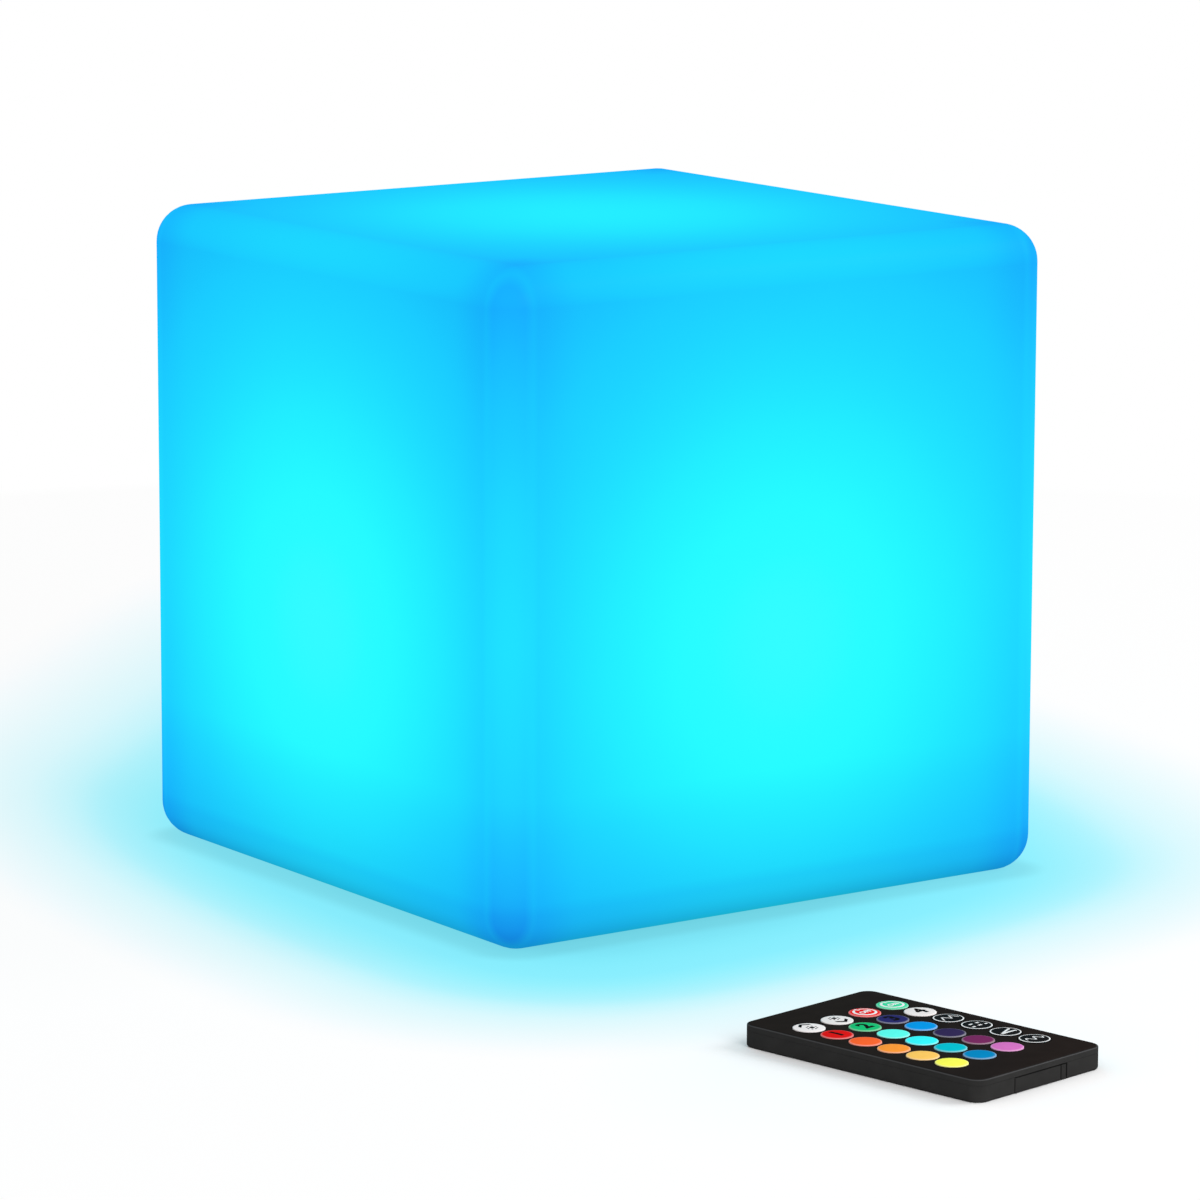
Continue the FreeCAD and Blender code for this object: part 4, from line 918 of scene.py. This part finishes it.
GLOW_REACH = 137 * MM
GLOW_SIDE = 59 * MM             # where it starts to fade: to the left and right, in front and behind
GLOW_FRONT = 84 * MM
GLOW_BACK = 34 * MM
RIGHT_GAIN = 0.63               # to the right and behind, where less studio light falls, it reaches further
BACK_GAIN = 0.14
CORNER_START = 45 * MM          # and it fades off the cube's left and right corners
CORNER_GAIN = 0.6
ROUNDNESS = 2.5                 # of the glow's outline: 2 makes it an oval, and more makes it squarer
# Share of the floor's colour that shows whatever the shadows on it: round the remote, by distance from a
# place a little in front of its middle, and elsewhere.
REMOTE_SHARE = 0.0
OPEN_SHARE = 0.9
REMOTE_FRONT = (-17 * MM, -25 * MM, 0)
REMOTE_END = 55 * MM
OPEN_START = 95 * MM
WHITE_FROM = 500 * MM           # between these distances from the cube all of it comes to show
WHITE_BY = 720 * MM
# The shade under the cube's foot is painted into the floor's colour.
UNDER_INSET = 2 * MM            # the shade under the cube's rounded foot is deepest this far inside the
UNDER_EDGE = 7 * MM             # cube's outline and ends this far outside it
UNDER_SHADE = 0.88
FLOOR_SIZE = 60


def floor_colour(finish):
    """White, with a painted pool of the cube's glow and a painted shade under the cube's rounded foot."""
    place = finish.parts(finish.place)
    x, y = place["X"], place["Y"]
    leftwards, forwards = finish.math("MULTIPLY", x, -1.0), finish.math("MULTIPLY", y, -1.0)
    across = finish.math("ADD", finish.past(leftwards, GLOW_SIDE), finish.past(x, GLOW_SIDE, RIGHT_GAIN))
    along = finish.math("ADD", finish.past(forwards, GLOW_FRONT), finish.past(y, GLOW_BACK, BACK_GAIN))
    sideways = finish.math("MULTIPLY", finish.math("ABSOLUTE", finish.math("SUBTRACT", x, y)), math.sqrt(0.5))
    total = 0.0
    for way in (across, along, finish.past(sideways, CORNER_START, CORNER_GAIN)):
        total = finish.math("ADD", finish.math("POWER", way, ROUNDNESS), total)
    faded = finish.math("DIVIDE", finish.math("POWER", total, 1 / ROUNDNESS), GLOW_REACH)

    outside = [finish.past(finish.math("ABSOLUTE", value), CUBE_HALF - CUBE_EDGE) for value in (x, y)]
    squares = [finish.math("MULTIPLY", part, part) for part in outside]
    from_flat = finish.math("SQRT", finish.math("ADD", *squares))
    foot = finish.spread(from_flat, CUBE_EDGE - UNDER_INSET, CUBE_EDGE + UNDER_EDGE, UNDER_SHADE, 1.0,
                         "SMOOTHSTEP")
    return finish.mixed(1.0, finish.ramp(faded, FLOOR_GLOW), foot, "MULTIPLY")


def studio_floor():
    """Pale floor that keeps the remote's shadow and turns plain white far from the cube."""
    bpy.ops.object.select_all(action="DESELECT")
    bpy.ops.mesh.primitive_plane_add(size=FLOOR_SIZE)
    floor = settled("studio_floor")
    finish = Finish("studio_floor")
    colour = floor_colour(finish)
    finish.set(Base_Color=colour, Roughness=0.9, Specular_IOR_Level=0.0)

    from_remote = finish.vector("DISTANCE", finish.place, remote_place.translation + Vector(REMOTE_FRONT))
    by_remote = finish.spread(from_remote, REMOTE_END, OPEN_START, REMOTE_SHARE, OPEN_SHARE)
    from_cube = finish.vector("DISTANCE", finish.place, (0, 0, 0))
    far_off = finish.spread(from_cube, WHITE_FROM, WHITE_BY, 0.0, 1.0)
    share = finish.math("MULTIPLY", finish.looked_at(), finish.math("MAXIMUM", by_remote, far_off))
    own_light = finish.add("Emission")
    finish.link(colour, own_light.inputs["Color"])
    finish.show(share, finish.shader, own_light, "Material Output")
    floor.data.materials.append(finish.material)


WORLD_LEVEL = 0.59              # how strongly the sky lights the things under it


def soft_light(name, place, aim, size, power):
    bpy.ops.object.light_add(type="AREA", location=place)
    lamp = bpy.context.object
    lamp.name = name
    lamp.data.size = size
    lamp.data.energy = power
    lamp.rotation_euler = (Vector(aim) - Vector(place)).to_track_quat("-Z", "Y").to_euler()


def studio_light():
    """Even light from a pale sky and two soft lamps; the camera sees the sky as plain white."""
    world = bpy.data.worlds.new("studio")
    bpy.context.scene.world = world
    world.use_nodes = True
    sky = Nodes(world.node_tree)
    falling, seen = sky.tree.nodes["Background"], sky.add("Background")
    for background in (falling, seen):
        background.inputs["Color"].default_value = WHITE
    falling.inputs["Strength"].default_value = WORLD_LEVEL
    sky.show(sky.looked_at(), falling, seen, "World Output")
    soft_light("right_light", place=(1.5, -0.9, 1.2), aim=(0, -0.2, 0), size=1.0, power=17)
    soft_light("front_light", place=(-0.2, -2.2, 1.0), aim=(0, -0.25, 0), size=1.2, power=24)


VIEW_AZIMUTH = -35.056          # degrees
VIEW_ELEVATION = 10.222
VIEW_ROLL = 0.15
VIEW_DISTANCE = 1.8052
VIEW_END = 100
VIEW_AIM = (0, 0, 93.84 * MM)
LENS = 175.3                    # in millimetres, as the sensor's width is
SENSOR_WIDTH = 36
SHIFT_ACROSS = 0.0075           # shares of that width
SHIFT_UP = -0.0373


def camera():
    """The photograph's view: a long lens, a little from above and from the left of the front."""
    azimuth, elevation = math.radians(VIEW_AZIMUTH), math.radians(VIEW_ELEVATION)
    back = Vector((math.sin(azimuth) * math.cos(elevation), -math.cos(azimuth) * math.cos(elevation),
                   math.sin(elevation)))
    bpy.ops.object.camera_add(location=Vector(VIEW_AIM) + back * VIEW_DISTANCE)
    view = bpy.context.object
    view.rotation_euler = (back.to_track_quat("Z", "Y")
                           @ Quaternion((0, 0, 1), math.radians(VIEW_ROLL))).to_euler()
    view.data.lens = LENS
    view.data.sensor_width = SENSOR_WIDTH
    view.data.shift_x = SHIFT_ACROSS
    view.data.shift_y = SHIFT_UP
    view.data.clip_end = VIEW_END
    bpy.context.scene.camera = view


cube_shell()
remote_back()
remote_lid()
remote_sheet()
coin_tray()
keys()
dress_kept_pieces()
studio_floor()
studio_light()
camera()
bpy.context.scene.view_settings.view_transform = "Standard"
